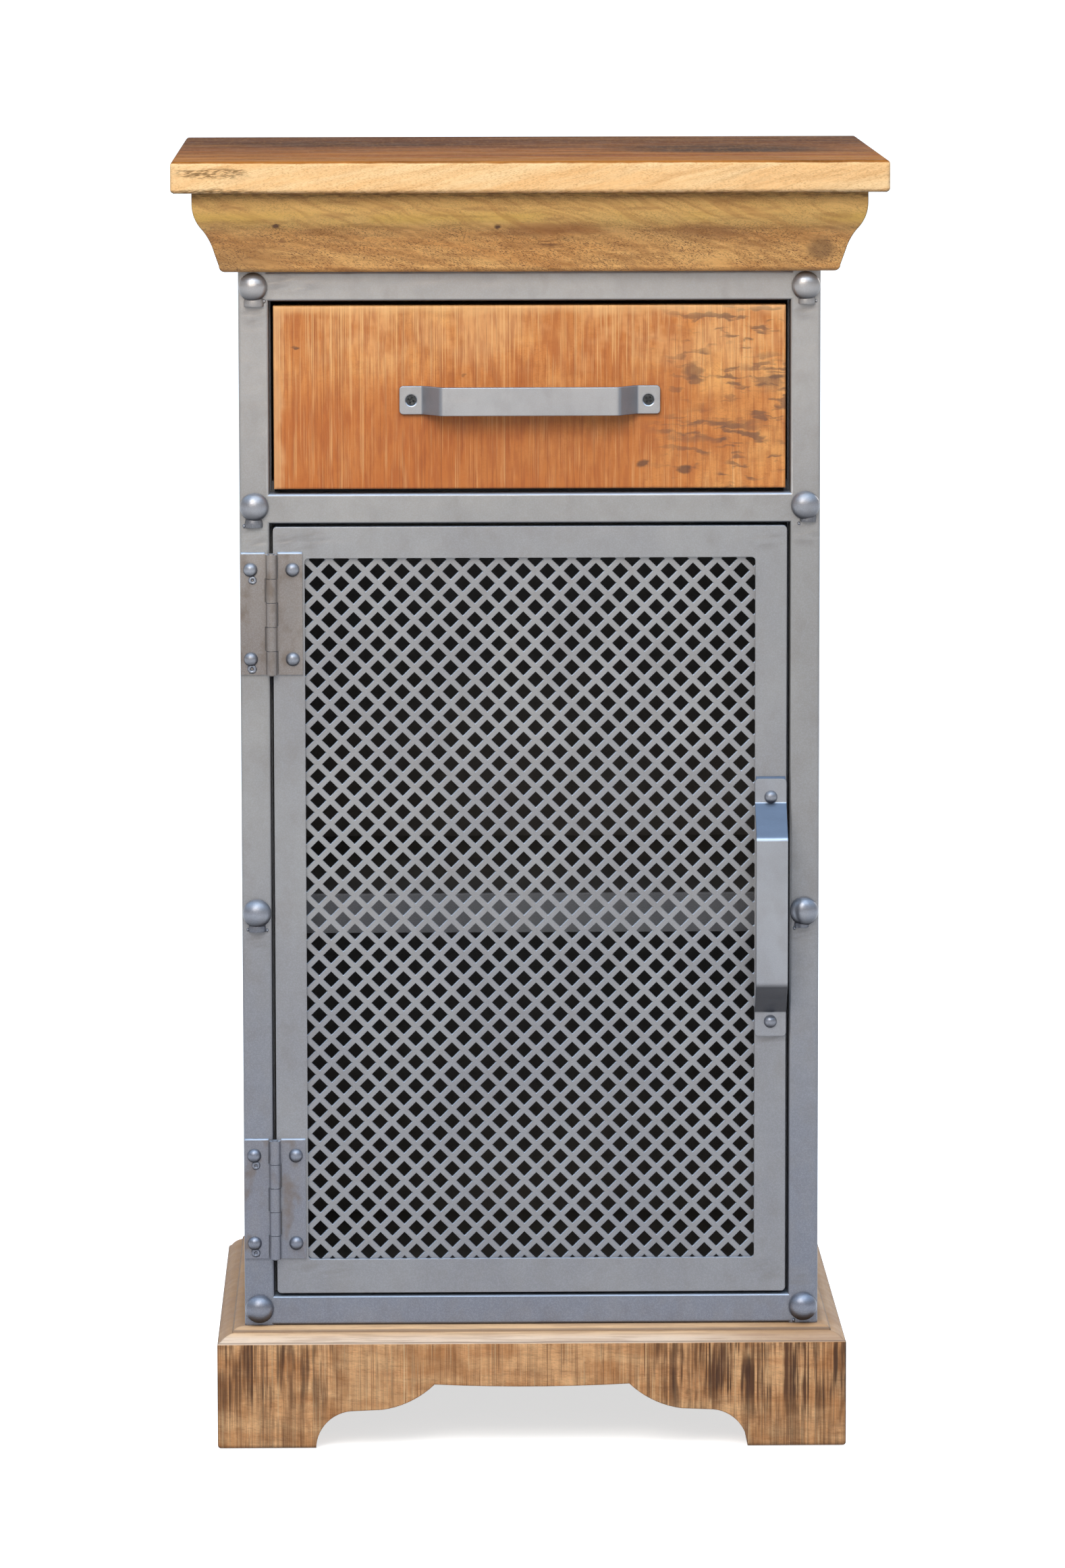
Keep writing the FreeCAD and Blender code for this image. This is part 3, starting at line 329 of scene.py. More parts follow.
def silver_lacquer(name, pale, deep, sheen=0.36, flake=0.45, edge=0.9, weld_marks=(), smear=0.10,
                   low=0.85, painted_underside_shade="#3E3E42", upper=0.65, upper_full=0.60, painted_slope_reflection=None, aside=0.0):
    """Sprayed silver-grey lacquer, between a pale and a deep tone.

    low, upper and aside are how much shows of the painted shade, darker and bluer, near the
    floor, of the painted sky reflection on faces that look up and of the painted shade on
    faces that look sideways; the tone for a pull's steep faces is a painted reflection, and
    the tone for faces that look down is painted shade."""
    material, place = begin(name)
    tree = material.node_tree
    normal = add(tree, "SeparateXYZ", {0: add(tree, "TexCoord")["Normal"]})
    sideways = unsigned(normal["X"])
    colour = coats(
        deep,
        (pale, marks(place, (70, 70, 110), 0.35, 0.65)),
        # painted light: darker and bluer towards the floor, warmer and paler towards the top
        ("#6C6F7B", band(place, "Z", 520, 90, low)),
        ("#ACA39A", band(place, "Z", 560, 700, 0.6)),
        ("#B9BAC0", marks(place, (0.7, 0.7, 0.7), 0.35, 0.75, 0.14, detail=1.0)),
        ("#86807A", marks(place, (9, 9, 14), 0.40, 0.70, 0.16, detail=3.0, shift=40)),
        ("#6A5A4C", marks(place, (14, 14, 20), 0.50, 0.68, smear, detail=3.0, shift=90)),
        # painted shade: darker on faces that look down and on faces that look sideways
        (painted_underside_shade, ease(normal["Z"], 0.05, -0.80, 0.85)),
        ("#5C626C", ease(sideways, 0.15, 0.55, aside)),
        # painted reflection: the sky's pale blue on faces that look up
        ("#BCCCE0", ease(normal["Z"], 0.12, upper_full, upper)))
    # painted reflection: a dark blue on a pull's steep faces
    if painted_slope_reflection:
        colour = coats(colour, (painted_slope_reflection, ease(normal["Z"], 0.34, 0.66, 0.9)))
    peel = marks(place, (1.5, 1.5, 1.5), 0.25, 0.75, 0.02)
    sags = marks(place, (30, 30, 9), 0.35, 0.75, 0.16, detail=1.0, shift=63)
    relief = total(peel, sags)
    if weld_marks:
        ridges = marks(place, (22, 9, 4.5), 0.30, 0.72, 0.20, detail=1.0, lean=-9, shift=29)
        around = most(*[spot(place, (x, -134, z), (wide, 30, tall)) for x, z, wide, tall in weld_marks])
        relief = total(relief, times(around, ridges))
        tone = marks(place, (14, 9, 3.4), 0.36, 0.66, 0.35, detail=3.0, lean=-9, shift=57)
        colour = coats(colour, ("#716B67", times(around, tone)))
    roughness = total(sheen, marks(place, (12, 12, 12), 0.3, 0.7, 0.08))
    return close(material, colour, relief, roughness, edge, metallic=flake)


frame_welds = (      # ground welds: x, z, half width and half height of each
    (-174, 586, 12, 13), (175, 586, 12, 12), (-174, 728, 12, 11), (174, 729, 12, 9), (-173, 328, 12, 9),
    (174, 330, 12, 8), (-150, 745, 26, 7), (172, 104, 10, 8))
door_welds = (
    (-146, 584, 24, 10), (-132, 114, 26, 9), (150, 584, 16, 10), (150, 112, 16, 10), (153, 262, 9, 9))
finishes = {
    "frame_paint": silver_lacquer("Silver lacquer on steel tube", "#9A958F", "#8E8984",
                                  weld_marks=frame_welds),
    "door_paint": silver_lacquer("Silver lacquer on sheet steel", "#96928E", "#8C8886",
                                 weld_marks=door_welds, low=0.4),
    # painted light on the pull: a narrow painted sky reflection gives a painted glint at each bend, with
    # painted reflection on its steep faces and painted shade on its sides
    "pull_paint": silver_lacquer("Silver lacquer on flat bar", "#9F9D9D", "#929091", edge=0.5, low=0.32,
                                 upper=0.85, upper_full=0.36, painted_slope_reflection="#4A586C", aside=0.6),
    # painted shade: the lower halves of the rivet heads are drawn dark
    "rivet_paint": silver_lacquer("Silver lacquer on forged rivets", "#8D8E93", "#7C7D83",
                                  0.34, 0.72, 0.3, upper=0.15, painted_underside_shade="#2E2E33"),
    # painted shade: the tack welds under the domes are drawn darker, and darker still where they face
    # down
    "weld_paint": silver_lacquer("Silver lacquer on tack welds", "#626368", "#4E4F54",
                                 0.42, 0.5, 0.3, upper=0.0, painted_underside_shade="#2A2A2E"),
    "hinge_paint": silver_lacquer("Silver lacquer on butt hinges", "#8E8379", "#7C7169",
                                  0.34, 0.5, 0.4, smear=0.65),
}
print("steel finishes", sorted(finishes))

# %% [markdown]
# The lining sheets, shelf and runners are thinner steel with the same lacquer outside.
# Inside the cabinet they lie in shade, and that shade is painted into the finish: behind
# the plane of the sheets it turns from silver to a dark, dull brown-grey. The shelf's lip
# faces the door, so its painted shade is about half as strong.

# %% Lacquer with painted shade inside
SIDE_SHEET_AT = 164.4      # mm from the middle to halfway through a side sheet
BACK_SHEET_AT = 155.4
SHELF_LIP_AT = -110.0
over, under = folded("GREATER_THAN"), folded("LESS_THAN")


def inner_sheet(name):
    """Silver outside, half silver on the shelf's lip, and inside dull, with painted shade."""
    material, place = begin(name)
    tree = material.node_tree
    parts = add(tree, "SeparateXYZ", {0: place})
    outside = over(unsigned(parts["X"]), SIDE_SHEET_AT)
    behind = over(parts["Y"], BACK_SHEET_AT)
    lip = under(parts["Y"], SHELF_LIP_AT)
    silver = most(outside, behind, times(lip, 0.45))
    drift = marks(place, (80, 80, 80), 0.35, 0.65)
    sand = marks(place, (0.7, 0.7, 0.7), 0.35, 0.70, 0.25, detail=1.0)
    # painted shade: the dark colour inside the cabinet
    painted_inside_shade = coats("#55504C", ("#66605A", drift), ("#7A7672", sand))
    sprayed = coats("#8F8E91", ("#989797", drift), ("#BEC0C6", sand))
    colour = coats(painted_inside_shade, (sprayed, silver))
    relief = total(marks(place, (1.4, 1.4, 1.4), 0.25, 0.75, 0.03),
                   marks(place, (60, 60, 40), 0.3, 0.7, 0.3, detail=1.0))
    roughness = add(tree, "Math", {0: silver, 1: -0.18, 2: 0.62}, operation="MULTIPLY_ADD")[0]
    return close(material, colour, relief, roughness, 0.4, metallic=0.2)


finishes["sheet_paint"] = inner_sheet("Silver lacquer on lining sheet with painted shade inside")
print("lining sheets ready")

# %% [markdown]
# The wood is mango, oiled. Its sapwood is pale gold, its heartwood brown, and it is full
# of short open pores that read as fine dark dashes along the grain. All the woods share
# one ground: broad growth bands, a fine grain of changing tone and pores. What differs is
# the colour and what the tools left: planed, moulded or rough from the saw.

# %% Mango ground


def mango_ground(place, tones, bands=(150, 16, 9), grain=(9, 1.6, 0.9), pore=(1.7, 0.5, 0.32), lean=0.0,
                 grain_share=0.5, pore_share=0.45):
    """Growth bands between tones (pale, middle, dark), a fine grain and pores; colour and pore mask."""
    pale, middle, dark = tones
    moved = shaken(place, (70, 26, 18), (12, 8, 8))
    broad = marks(moved, bands, 0.32, 0.68, detail=3.0, lean=lean)
    streaks = marks(moved, [0.3 * b for b in bands], 0.45, 0.75, 0.35, detail=4.0, lean=lean, shift=31)
    light = marks(moved, grain, 0.35, 0.75, grain_share, detail=4.0, lean=lean, shift=77, rough=0.6)
    deep = marks(moved, grain, 0.48, 0.80, grain_share, detail=4.0, lean=lean, shift=48, rough=0.6)
    zone = marks(place, (24, 12, 8), 0.20, 0.58, shift=85)
    pores = times(marks(place, pore, 0.50, 0.68, pore_share, lean=lean + 14, shift=11), zone)
    colour = coats(middle, (pale, broad), (dark, streaks), (pale, light), (dark, deep), (dark, pores))
    return colour, pores


def saw_lines(place, pitch, tall, low, high, share, shift):
    """Straight upright lines left by the saw: a pitch in mm, broken into lengths about that tall."""
    comb = marks(place, (pitch, 900, 900), low, high, share, shift=shift, rough=0.6)
    reach = marks(place, (3.5 * pitch, 60, tall), 0.40, 0.60, shift=shift + 50)
    return times(comb, reach)


def board(name, tones, turned=False):
    """Planed mango with nothing else on it, as the drawer's box has."""
    material, place = begin(name, turned)
    colour, pores = mango_ground(place, tones)
    relief = times(pores, -0.15)
    return close(material, colour, relief, 0.62, 0.6, specular=0.3)


finishes["drawer_box_wood"] = board("Planed mango", ("#E0C195", "#C8A474", "#93704A"))
box_side_wood = board("Planed mango along the drawer", ("#E0C195", "#C8A474", "#93704A"), turned=True)
print("planed mango ready")

# %% [markdown]
# The top is one wide board. Its edges are pale gold sapwood with short dark flecks and
# brown hatched stains near the left end; its upper face is brown heartwood with long dark
# streaks, a reddish one near the front and blackish clouds behind it. The two meet at the
# worn arris, so the finish changes with height over the last millimetre, with a wandering
# line. The face is seen from low down, so its streaks are drawn 9 to 40 mm wide.

# %% Top board finish


def top_finish(name):
    """Gold edges, brown streaked face."""
    material, place = begin(name)
    gold, pores = mango_ground(place, ("#FDD49C", "#F8C182", "#BD8248"), grain=(3.4, 1.6, 1.0), lean=-14,
                               grain_share=0.36, pore_share=0.55)
    hatch = marks(place, (4, 9, 0.7), 0.36, 0.62, detail=3.0, lean=-8, shift=5)
    torn = shaken(place, (12, 9, 3), (22, 0, 4))
    upper_stain = spot(torn, (-199, -175, 817.5), (30, 60, 4.0), 0.85, 0.5)
    lower_stain = spot(torn, (-196, -175, 806.2), (34, 60, 2.4), 0.8, 0.4)
    stain = times(most(upper_stain, lower_stain), hatch)
    low_edge = times(marks(place, (4, 9, 1.0), 0.42, 0.66, 0.5, detail=3.0, shift=23),
                     band(place, "Z", 808.0, 805.5))
    gold = coats(gold, ("#7C5C38", stain), ("#A06A34", low_edge))
    face = mango_ground(place, ("#9A5824", "#763F18", "#371C0B"), (200, 40, 34), (22, 7.0, 3.0))[0]
    around = shaken(place, (120, 60, 60), (60, 26, 0))
    toward_front = band(around, "Y", -20, -140, 0.6)
    far = band(around, "Y", -40, 90, 0.78)
    streak = marks(around, (130, 15, 30), 0.42, 0.66, 0.60, detail=5.0, shift=52, rough=0.6)
    pale_streak = marks(around, (150, 10, 30), 0.48, 0.74, 0.42, detail=5.0, shift=12, rough=0.6)
    red = spot(around, (60, -104, 825), (330, 16, 60), 0.5)
    cloud_zone = most(spot(around, (124, -14, 825), (100, 70, 60)),
                      spot(around, (-120, 60, 825), (110, 50, 60), 0.5))
    black = times(marks(around, (70, 9, 20), 0.36, 0.62, 0.85, detail=5.0, shift=37, rough=0.65),
                  cloud_zone)
    saw = marks(place, (2.2, 20, 60), 0.45, 0.70, 0.18, detail=3.0, shift=9)
    face = coats(face, ("#AE6D2C", toward_front), ("#542C10", far),
                 ("#46240F", streak), ("#BC8144", pale_streak), ("#7C3413", red),
                 ("#261A12", black), ("#33200F", times(cloud_zone, 0.45)),
                 ("#A8733F", saw))
    wander = shaken(place, (14, 14, 6), (0, 0, 1.2))
    upper = band(wander, "Z", 823.0, 824.2)
    colour = coats(gold, (face, upper))
    relief = total(times(pores, -0.12), times(saw, 0.10))
    roughness = total(0.44, marks(place, (12, 6, 6), 0.3, 0.7, 0.12))
    return close(material, colour, relief, roughness, 1.6, specular=0.02)


finishes["mango_top"] = top_finish("Oiled mango, gold edge and brown face")
print("top finish ready")

# %% [markdown]
# The cornice is moulded mango, smooth to the hand. Its upper fascia is a yellow olive,
# and a brighter yellow along the convex roll below it is a painted highlight. Its hollow
# is a warm tan with fine flecks, two or three small knots and, near the middle, a figure
# where a branch began. Pores show here as dense fine dashes, slightly aslant.

# %% Cornice finish


def cornice_finish(name, turned=False):
    """Moulded mango with an olive fascia; knots on the front length only."""
    material, place = begin(name, turned)
    colour, pores = mango_ground(place, ("#EFB56C", "#DC9A54", "#6E4120"), (90, 16, 9), (3.2, 1.4, 1.0),
                                 (1.4, 0.6, 0.45), lean=8, grain_share=0.6, pore_share=0.95)
    around = shaken(place, (26, 26, 7), (8, 0, 4))
    olive = band(around, "Z", 779, 787, 0.62)
    # painted highlight: a brighter yellow along the convex roll
    yellow = times(band(around, "Z", 784, 788), band(around, "Z", 795, 789),
                   marks(place, (40, 30, 20), 0.40, 0.65, 0.5, shift=66))
    fringe = times(marks(place, (6, 9, 1.0), 0.42, 0.62, 0.55, detail=3.0, shift=16),
                   band(around, "Z", 799, 804))
    arcs = marks(shaken(place, (60, 30, 30), (20, 20, 20)), (50, 12, 3.0), 0.44, 0.66, 0.36, lean=24,
                 shift=14)
    brown = marks(around, (30, 20, 4), 0.50, 0.70, 0.40, detail=5.0, shift=60)
    colour = coats(colour, ("#E0B466", olive), ("#DFB152", yellow), ("#A4682F", arcs),
                   ("#96602F", brown), ("#6F4821", fringe))
    if not turned:
        torn = shaken(place, (5, 5, 3), (5, 0, 3))
        wide = spot(around, (12, -150, 782), (44, 60, 6), 0.5)
        heart = spot(torn, (12, -150, 775), (10, 60, 5), 0.5)
        rings = times(marks(place, (24, 30, 1.1), 0.48, 0.60, 0.8, shift=71),
                      spot(torn, (13, -150, 771), (13, 60, 6)))
        knot_left = spot(torn, (-159.6, -150, 783.6), (3.6, 60, 2.0), 0.95)
        knot_low = spot(torn, (-155.0, -150, 774.0), (3.0, 60, 2.0), 0.6)
        knot_mid = spot(torn, (-20.0, -150, 782.9), (3.0, 60, 2.0), 0.95)
        left_low = times(band(around, "X", -120, -195), band(place, "Z", 780, 762, 0.5))
        right_end = spot(torn, (183, -150, 768), (12, 60, 10), 0.7)
        right_mid = spot(around, (110, -150, 779), (34, 60, 7), 0.45)
        colour = coats(colour, ("#9A5E30", wide), ("#D38F4C", heart), ("#6B4020", rings),
                       ("#4E2C1A", knot_left), ("#7A4826", knot_low), ("#4E2C1A", knot_mid),
                       ("#8A6238", left_low), ("#6E4A2A", right_end), ("#8B5A31", right_mid))
    relief = times(pores, -0.14)
    roughness = total(0.46, marks(place, (10, 10, 5), 0.3, 0.7, 0.12))
    return close(material, colour, relief, roughness, 1.0, specular=0.4)


finishes["mango_cornice"] = cornice_finish("Moulded mango")
cornice_side_wood = cornice_finish("Moulded mango along the side", turned=True)
print("cornice finish ready")

# %% [markdown]
# The plinth is left rough from the saw: the blade crossed the grain and scorched it, so
# each board shows upright brown lines in groups, heavy near the left end and in the right
# third, over a tan ground with fine slanting grain. The moulding above was planed, so it
# is paler and has no saw lines, only a dark seam at the step.

# %% Plinth finish


def plinth_finish(name, turned=False):
    """Rough-sawn mango with scorched saw lines below a planed moulding."""
    material, place = begin(name, turned)
    colour, pores = mango_ground(place, ("#F5BC83", "#DA9A63", "#7E4F2A"), (70, 14, 9), (4, 1.4, 0.8),
                                 (2.4, 0.6, 0.4), lean=2, grain_share=0.45, pore_share=0.22)
    sawn = band(place, "Z", 68.1, 67.3)
    heavy = most(band(place, "X", -100, -150, 0.8), band(place, "X", 40, 110), 0.25)
    upper = band(shaken(place, (20, 20, 20), (0, 0, 26)), "Z", 2, 40)
    strength = times(heavy, most(upper, 0.55), sawn)
    group = marks(place, (9, 60, 30), 0.28, 0.50, shift=8)
    dark_lines = times(saw_lines(place, 1.2, 46, 0.36, 0.52, 0.95, 3), group, strength)
    bars = times(saw_lines(place, 2.7, 40, 0.42, 0.56, 0.95, 81),
                 marks(place, (60, 60, 60), 0.24, 0.46, shift=22), strength)
    thin_lines = times(saw_lines(place, 0.8, 30, 0.46, 0.62, 0.6, 28), sawn)
    pale_lines = times(saw_lines(place, 1.1, 34, 0.50, 0.64, 0.5, 44), sawn)
    warm = marks(place, (24, 30, 20), 0.44, 0.62, 0.5, detail=3.0, shift=13)
    across = marks(place, (40, 12, 1.0), 0.46, 0.62, 0.45, detail=3.0, shift=70)
    seam = times(band(place, "Z", 73.3, 74.2), band(place, "Z", 76.0, 75.2, 0.7))
    score = times(band(place, "Z", 68.3, 68.5), band(place, "Z", 69.1, 68.9, 0.6))
    planed = band(place, "Z", 67.5, 68.2, 0.8)
    pink = band(place, "Z", 74.4, 70.5)
    aged = 0.85 if turned else band(place, "X", 80, 170, 0.65)
    inner = coats("#DDB78C", ("#DDC8B2", pink), ("#94704C", aged))
    colour = coats(colour, ("#B06E36", warm), ("#F8D09C", pale_lines),
                   ("#7E4C28", thin_lines), ("#4C280E", bars), ("#3F210B", dark_lines),
                   (inner, planed), ("#A07C60", times(planed, across)),
                   ("#75604F", seam), ("#75604F", score))
    relief = total(times(pores, -0.14), times(pale_lines, 0.25), times(dark_lines, -0.20))
    roughness = total(0.54, marks(place, (10, 10, 10), 0.3, 0.7, 0.14))
    return close(material, colour, relief, roughness, 1.2, specular=0.35)


finishes["mango_plinth"] = plinth_finish("Rough-sawn mango")
plinth_side_wood = plinth_finish("Rough-sawn mango along the side", turned=True)
print("plinth finish ready")

# %% [markdown]
# The drawer front is the show piece: orange heartwood, sawn across the grain and oiled,
# so that hundreds of fine upright lines, pale gold and dark red, cover it. Grey-brown
# blotches lie in the right third, and the sanded left and top edges are pale.

# %% Drawer front finish


def drawer_finish(name):
    """Orange mango with dense upright saw lines."""
    material, place = begin(name)
    colour, pores = mango_ground(place, ("#EBA55C", "#DB8A43", "#945022"), (90, 12, 34), (4, 1.4, 1.6),
                                 grain_share=0.3, pore_share=0.3)
    clouds = marks(place, (40, 40, 44), 0.38, 0.60, 0.7, detail=3.0, lean=18, shift=51)
    low_left = times(band(place, "X", 130, -20, 0.8), band(place, "Z", 716, 650))
    light_top = times(marks(place, (26, 40, 22), 0.40, 0.60, 0.6, detail=3.0, shift=20),
                      band(place, "Z", 670, 715))
    group = marks(place, (14, 60, 50), 0.38, 0.62, shift=33)
    dense = most(times(group, 0.55), band(place, "Z", 660, 708, 0.85))
    pale_lines = times(saw_lines(place, 0.62, 36, 0.44, 0.62, 0.72, 7), dense)
    dark_lines = saw_lines(place, 0.62, 30, 0.46, 0.66, 0.42, 64)
    red_lines = marks(place, (4, 40, 20), 0.42, 0.62, 0.40, detail=4.0, shift=90)
    around = shaken(place, (9, 9, 4), (12, 0, 5))
    edge_mask = band(around, "X", 62, 120)
    blotch = times(marks(around, (18, 30, 5.0), 0.52, 0.62, 0.72, detail=3.0, shift=46),
                   edge_mask, marks(place, (30, 60, 26), 0.42, 0.56, shift=6))
    knot_one = spot(around, (103, -134, 690), (8, 60, 8), 0.6)
    knot_two = spot(around, (72, -134, 632), (6, 60, 3.4), 0.75)
    knot_three = spot(around, (98, -134, 628), (6, 60, 3.4), 0.75)
    streaks = times(spot(around, (112, -134, 655), (46, 60, 13), 0.75),
                    marks(around, (22, 60, 3.4), 0.42, 0.58, detail=3.0, shift=15))
    corner = times(spot(around, (150, -134, 690), (22, 60, 16), 0.6),
                   marks(around, (16, 60, 3.0), 0.42, 0.60, detail=3.0, shift=38))
    speck_one = spot(around, (-148, -134, 706), (2.6, 60, 1.6), 0.8)
    speck_two = spot(around, (-40, -134, 688), (2.4, 60, 1.6), 0.5)
    edge_left = band(shaken(place, (10, 10, 16), (14, 0, 0)), "X", -153, -162, 0.35)
    edge_top = band(shaken(place, (16, 10, 10), (0, 0, 8)), "Z", 725, 732, 0.5)
    colour = coats(colour, ("#BF6C2C", clouds), ("#BC6626", low_left), ("#EFAE6E", light_top),
                   ("#A04E1C", red_lines), ("#F8BF7C", pale_lines), ("#8C4418", dark_lines),
                   ("#664634", blotch), ("#6B4A36", streaks), ("#6B4A36", corner),
                   ("#5E3F2E", knot_one), ("#4A3226", knot_two), ("#4A3226", knot_three),
                   ("#5A3A28", speck_one), ("#6E3E22", speck_two), ("#FFCD90", edge_left),
                   ("#F8C07E", edge_top))
    relief = total(times(pores, -0.1), times(pale_lines, 0.10), times(dark_lines, -0.14))
    roughness = total(0.40, marks(place, (12, 10, 12), 0.3, 0.7, 0.14))
    return close(material, colour, relief, roughness, 1.0, specular=0.4)


finishes["mango_drawer"] = drawer_finish("Rough-sawn orange mango")
print("drawer finish ready")

# %% [markdown]
# Two small finishes are left. The catch is moulded black nylon, faintly mottled. The
# screws are blacked steel: dark, oily, a little worn to grey on the rim.

# %% Small finishes


def small_finish(name, ground, worn, roughness, metallic):
    """A dark ground with a few paler worn patches."""
    material, place = begin(name)
    wear = marks(place, (1.4, 1.4, 1.4), 0.52, 0.70, 0.5)
    relief = marks(place, (0.7, 0.7, 0.7), 0.3, 0.7, 0.03)
    colour = coats(ground, (worn, wear))
    uneven = total(roughness, marks(place, (3, 3, 3), 0.3, 0.7, 0.1))
    return close(material, colour, relief, uneven, 0.2, metallic=metallic)


finishes["catch_plastic"] = small_finish("Black nylon", "#1E1E1F", "#2B2B2C", 0.5, 0.0)
screw_black = small_finish("Blacked steel screw", "#2C2B2A", "#615E58", 0.45, 0.3)
print("finishes", len(finishes))

# %% [markdown]
# Each CAD node takes the finish of its slot in the record. Boards that run from front to
# back take the turned version of their wood, or the grain would run across them.

# %% Dress the CAD nodes
turned_wood = {
    "cornice_left": cornice_side_wood, "cornice_right": cornice_side_wood,
    "plinth_left": plinth_side_wood, "plinth_right": plinth_side_wood,
    "drawer_side_left": box_side_wood, "drawer_side_right": box_side_wood,
}


def finish_of(node):
    """The finish of a CAD node."""
    return turned_wood.get(node) or finishes[slot_of[node]]


for name, node in nodes.items():
    if not node.material_slots:
        node.data.materials.append(None)
    for place in node.material_slots:
        place.link = "OBJECT"
        place.material = finish_of(name)
print("dressed", len(nodes), "nodes")

# %% [markdown]
# Wood and bar have no knife edges: a sander or the hand has rounded them by a millimetre
# or two. A copy of the CAD mesh is merged, its flat triangles are joined again into
# whole faces, and a Bevel modifier rounds every corner sharper than thirty degrees. The
# copy then stands for the CAD node.

# %% Softened copies
NEAR = 0.01 * MM           # points nearer than this are one point


def object_mode():
    """Leaves edit mode."""
    if bpy.context.mode != "OBJECT":
        bpy.ops.object.mode_set(mode="OBJECT")


def pick(piece):
    """Object mode, with one piece selected and active."""
    object_mode()
    bpy.ops.object.select_all(action="DESELECT")
    piece.select_set(True)
    bpy.context.view_layer.objects.active = piece


def whole(piece):
    """Edit mode on one piece with all of it selected."""
    pick(piece)
    bpy.ops.object.mode_set(mode="EDIT")
    bpy.ops.mesh.select_mode(type="VERT")
    bpy.ops.mesh.select_all(action="SELECT")


def set_down(piece):
    """Writes a piece's place, turn and size into its mesh."""
    pick(piece)
    bpy.ops.object.transform_apply(location=True, rotation=True, scale=True)
    return piece


def modify(piece, kind, **settings):
    """Adds a modifier with its settings and applies it."""
    pick(piece)
    modifier = piece.modifiers.new(kind, kind)
    for name, value in settings.items():
        setattr(modifier, name, value)
    bpy.ops.object.modifier_apply(modifier=modifier.name)


def seat(piece, name, body, slot, material=None, stands_for=(), sharp=30, weigh=False):
    """Names a finished piece, smooths it, gives it its finish and sets it on its body.

    Without a material of its own it takes the finish of its slot. weigh keeps flat faces
    flat in the light where they run into rounded edges."""
    set_down(piece)
    bpy.ops.object.shade_smooth_by_angle(angle=math.radians(sharp))
    if weigh:
        modify(piece, "WEIGHTED_NORMAL", keep_sharp=True)
    piece.name = piece.data.name = name
    piece.data.materials.clear()
    piece.data.materials.append(material or finishes[slot])
    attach(piece, body)
    if stands_for:
        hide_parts(*stands_for)
    return piece


def join_flats(piece):
    """Merges doubled points and joins flat triangles into whole faces."""
    whole(piece)
    bpy.ops.mesh.remove_doubles(threshold=NEAR)
    bpy.ops.mesh.dissolve_limited(angle_limit=math.radians(0.5))
    object_mode()


def round_edges(piece, radius, segments, sharper_than=30):
    """Rounds the edges with an applied Bevel modifier; radius in mm."""
    join_flats(piece)
    modify(piece, "BEVEL", width=radius * MM, segments=segments, limit_method="ANGLE",
           angle_limit=math.radians(sharper_than))


def copy_of(node):
    """A free copy of a CAD node's mesh, without its stored normals."""
    piece = bpy.data.objects.new(node + "_soft", nodes[node].data.copy())
    bpy.context.scene.collection.objects.link(piece)
    whole(piece)
    bpy.ops.mesh.customdata_custom_splitnormals_clear()
    object_mode()
    return piece


def soften(node, radius, segments):
    """A copy of a CAD node with rounded edges, radius in mm, that stands for it."""
    piece = copy_of(node)
    round_edges(piece, radius, segments)
    return seat(piece, node + "_soft", body_of[node], slot_of[node], finish_of(node), (node,), weigh=True)


for node, radius, segments in (("top_board", 2.2, 3), ("drawer_front", 1.0, 2), ("drawer_pull", 0.6, 2),
                               ("door_pull", 0.6, 2)):
    made = soften(node, radius, segments)
    print(made.name, len(made.data.polygons), "faces")

# %% [markdown]
# The frame is welded and ground, so no joint shows on its faces: posts and rails are one
# skin. A tube has round corners along its length, about 2 mm here, that carry a bright
# line on the upper side. So each tube is a block at its CAD place with its four long
# edges bevelled; the rails run a little into the posts, and a Boolean union makes one skin.
# The lining sheets meet each post at its inner edge, so that edge stays sharp and closed.

# %% Welded frame
TUBE_ROUND = 1.9 * MM
INTO_POST = 6.0 * MM


def select_parts(piece, kind, test):
    """Selects the vertices, edges or faces that pass a test, in edit mode."""
    whole(piece)
    bpy.ops.mesh.select_mode(type=kind)
    bpy.ops.mesh.select_all(action="DESELECT")
    object_mode()
    parts = {"VERT": piece.data.vertices, "EDGE": piece.data.edges, "FACE": piece.data.polygons}[kind]
    for part in parts:
        part.select = test(part)
    bpy.ops.object.mode_set(mode="EDIT")


def ends_of(piece, line):
    """The two end points of an edge."""
    return [piece.data.vertices[i].co for i in line.vertices]


def placed(centre, size, turn=Matrix.Identity(4)):
    """The matrix that sizes a piece, turns it and moves it to its centre."""
    return Matrix.Translation(centre) @ turn @ Matrix.Diagonal((*size, 1))


def block(low, high):
    """A plain block between two corners, as a start for a union."""
    object_mode()
    bpy.ops.mesh.primitive_cube_add(size=1)
    piece = bpy.context.object
    piece.matrix_world = placed((low + high) / 2, high - low)
    return set_down(piece)


def tube(low, high):
    """A block whose long edges are round, but for the inner edge of a post."""
    piece = block(low, high)
    along = max(range(3), key=lambda axis: high[axis] - low[axis])
    middle = (cad_box[0] + cad_box[1]) / 2
    inner = min((point.co - middle).xy.length for point in piece.data.vertices)

    def to_round(line):
        a, b = ends_of(piece, line)
        sheet_edge = along == 2 and (a - middle).xy.length < inner + MM
        return abs(a[along] - b[along]) > 0.5 * (high[along] - low[along]) and not sheet_edge

    select_parts(piece, "EDGE", to_round)
    bpy.ops.mesh.bevel(offset=TUBE_ROUND, affect="EDGES", segments=4)
    object_mode()
    return piece


def unite(pieces):
    """One closed skin from blocks that run into each other."""
    first, *others = pieces
    for other in others:
        modify(first, "BOOLEAN", operation="UNION", solver="EXACT", object=other)
        bpy.data.objects.remove(other)
    return first


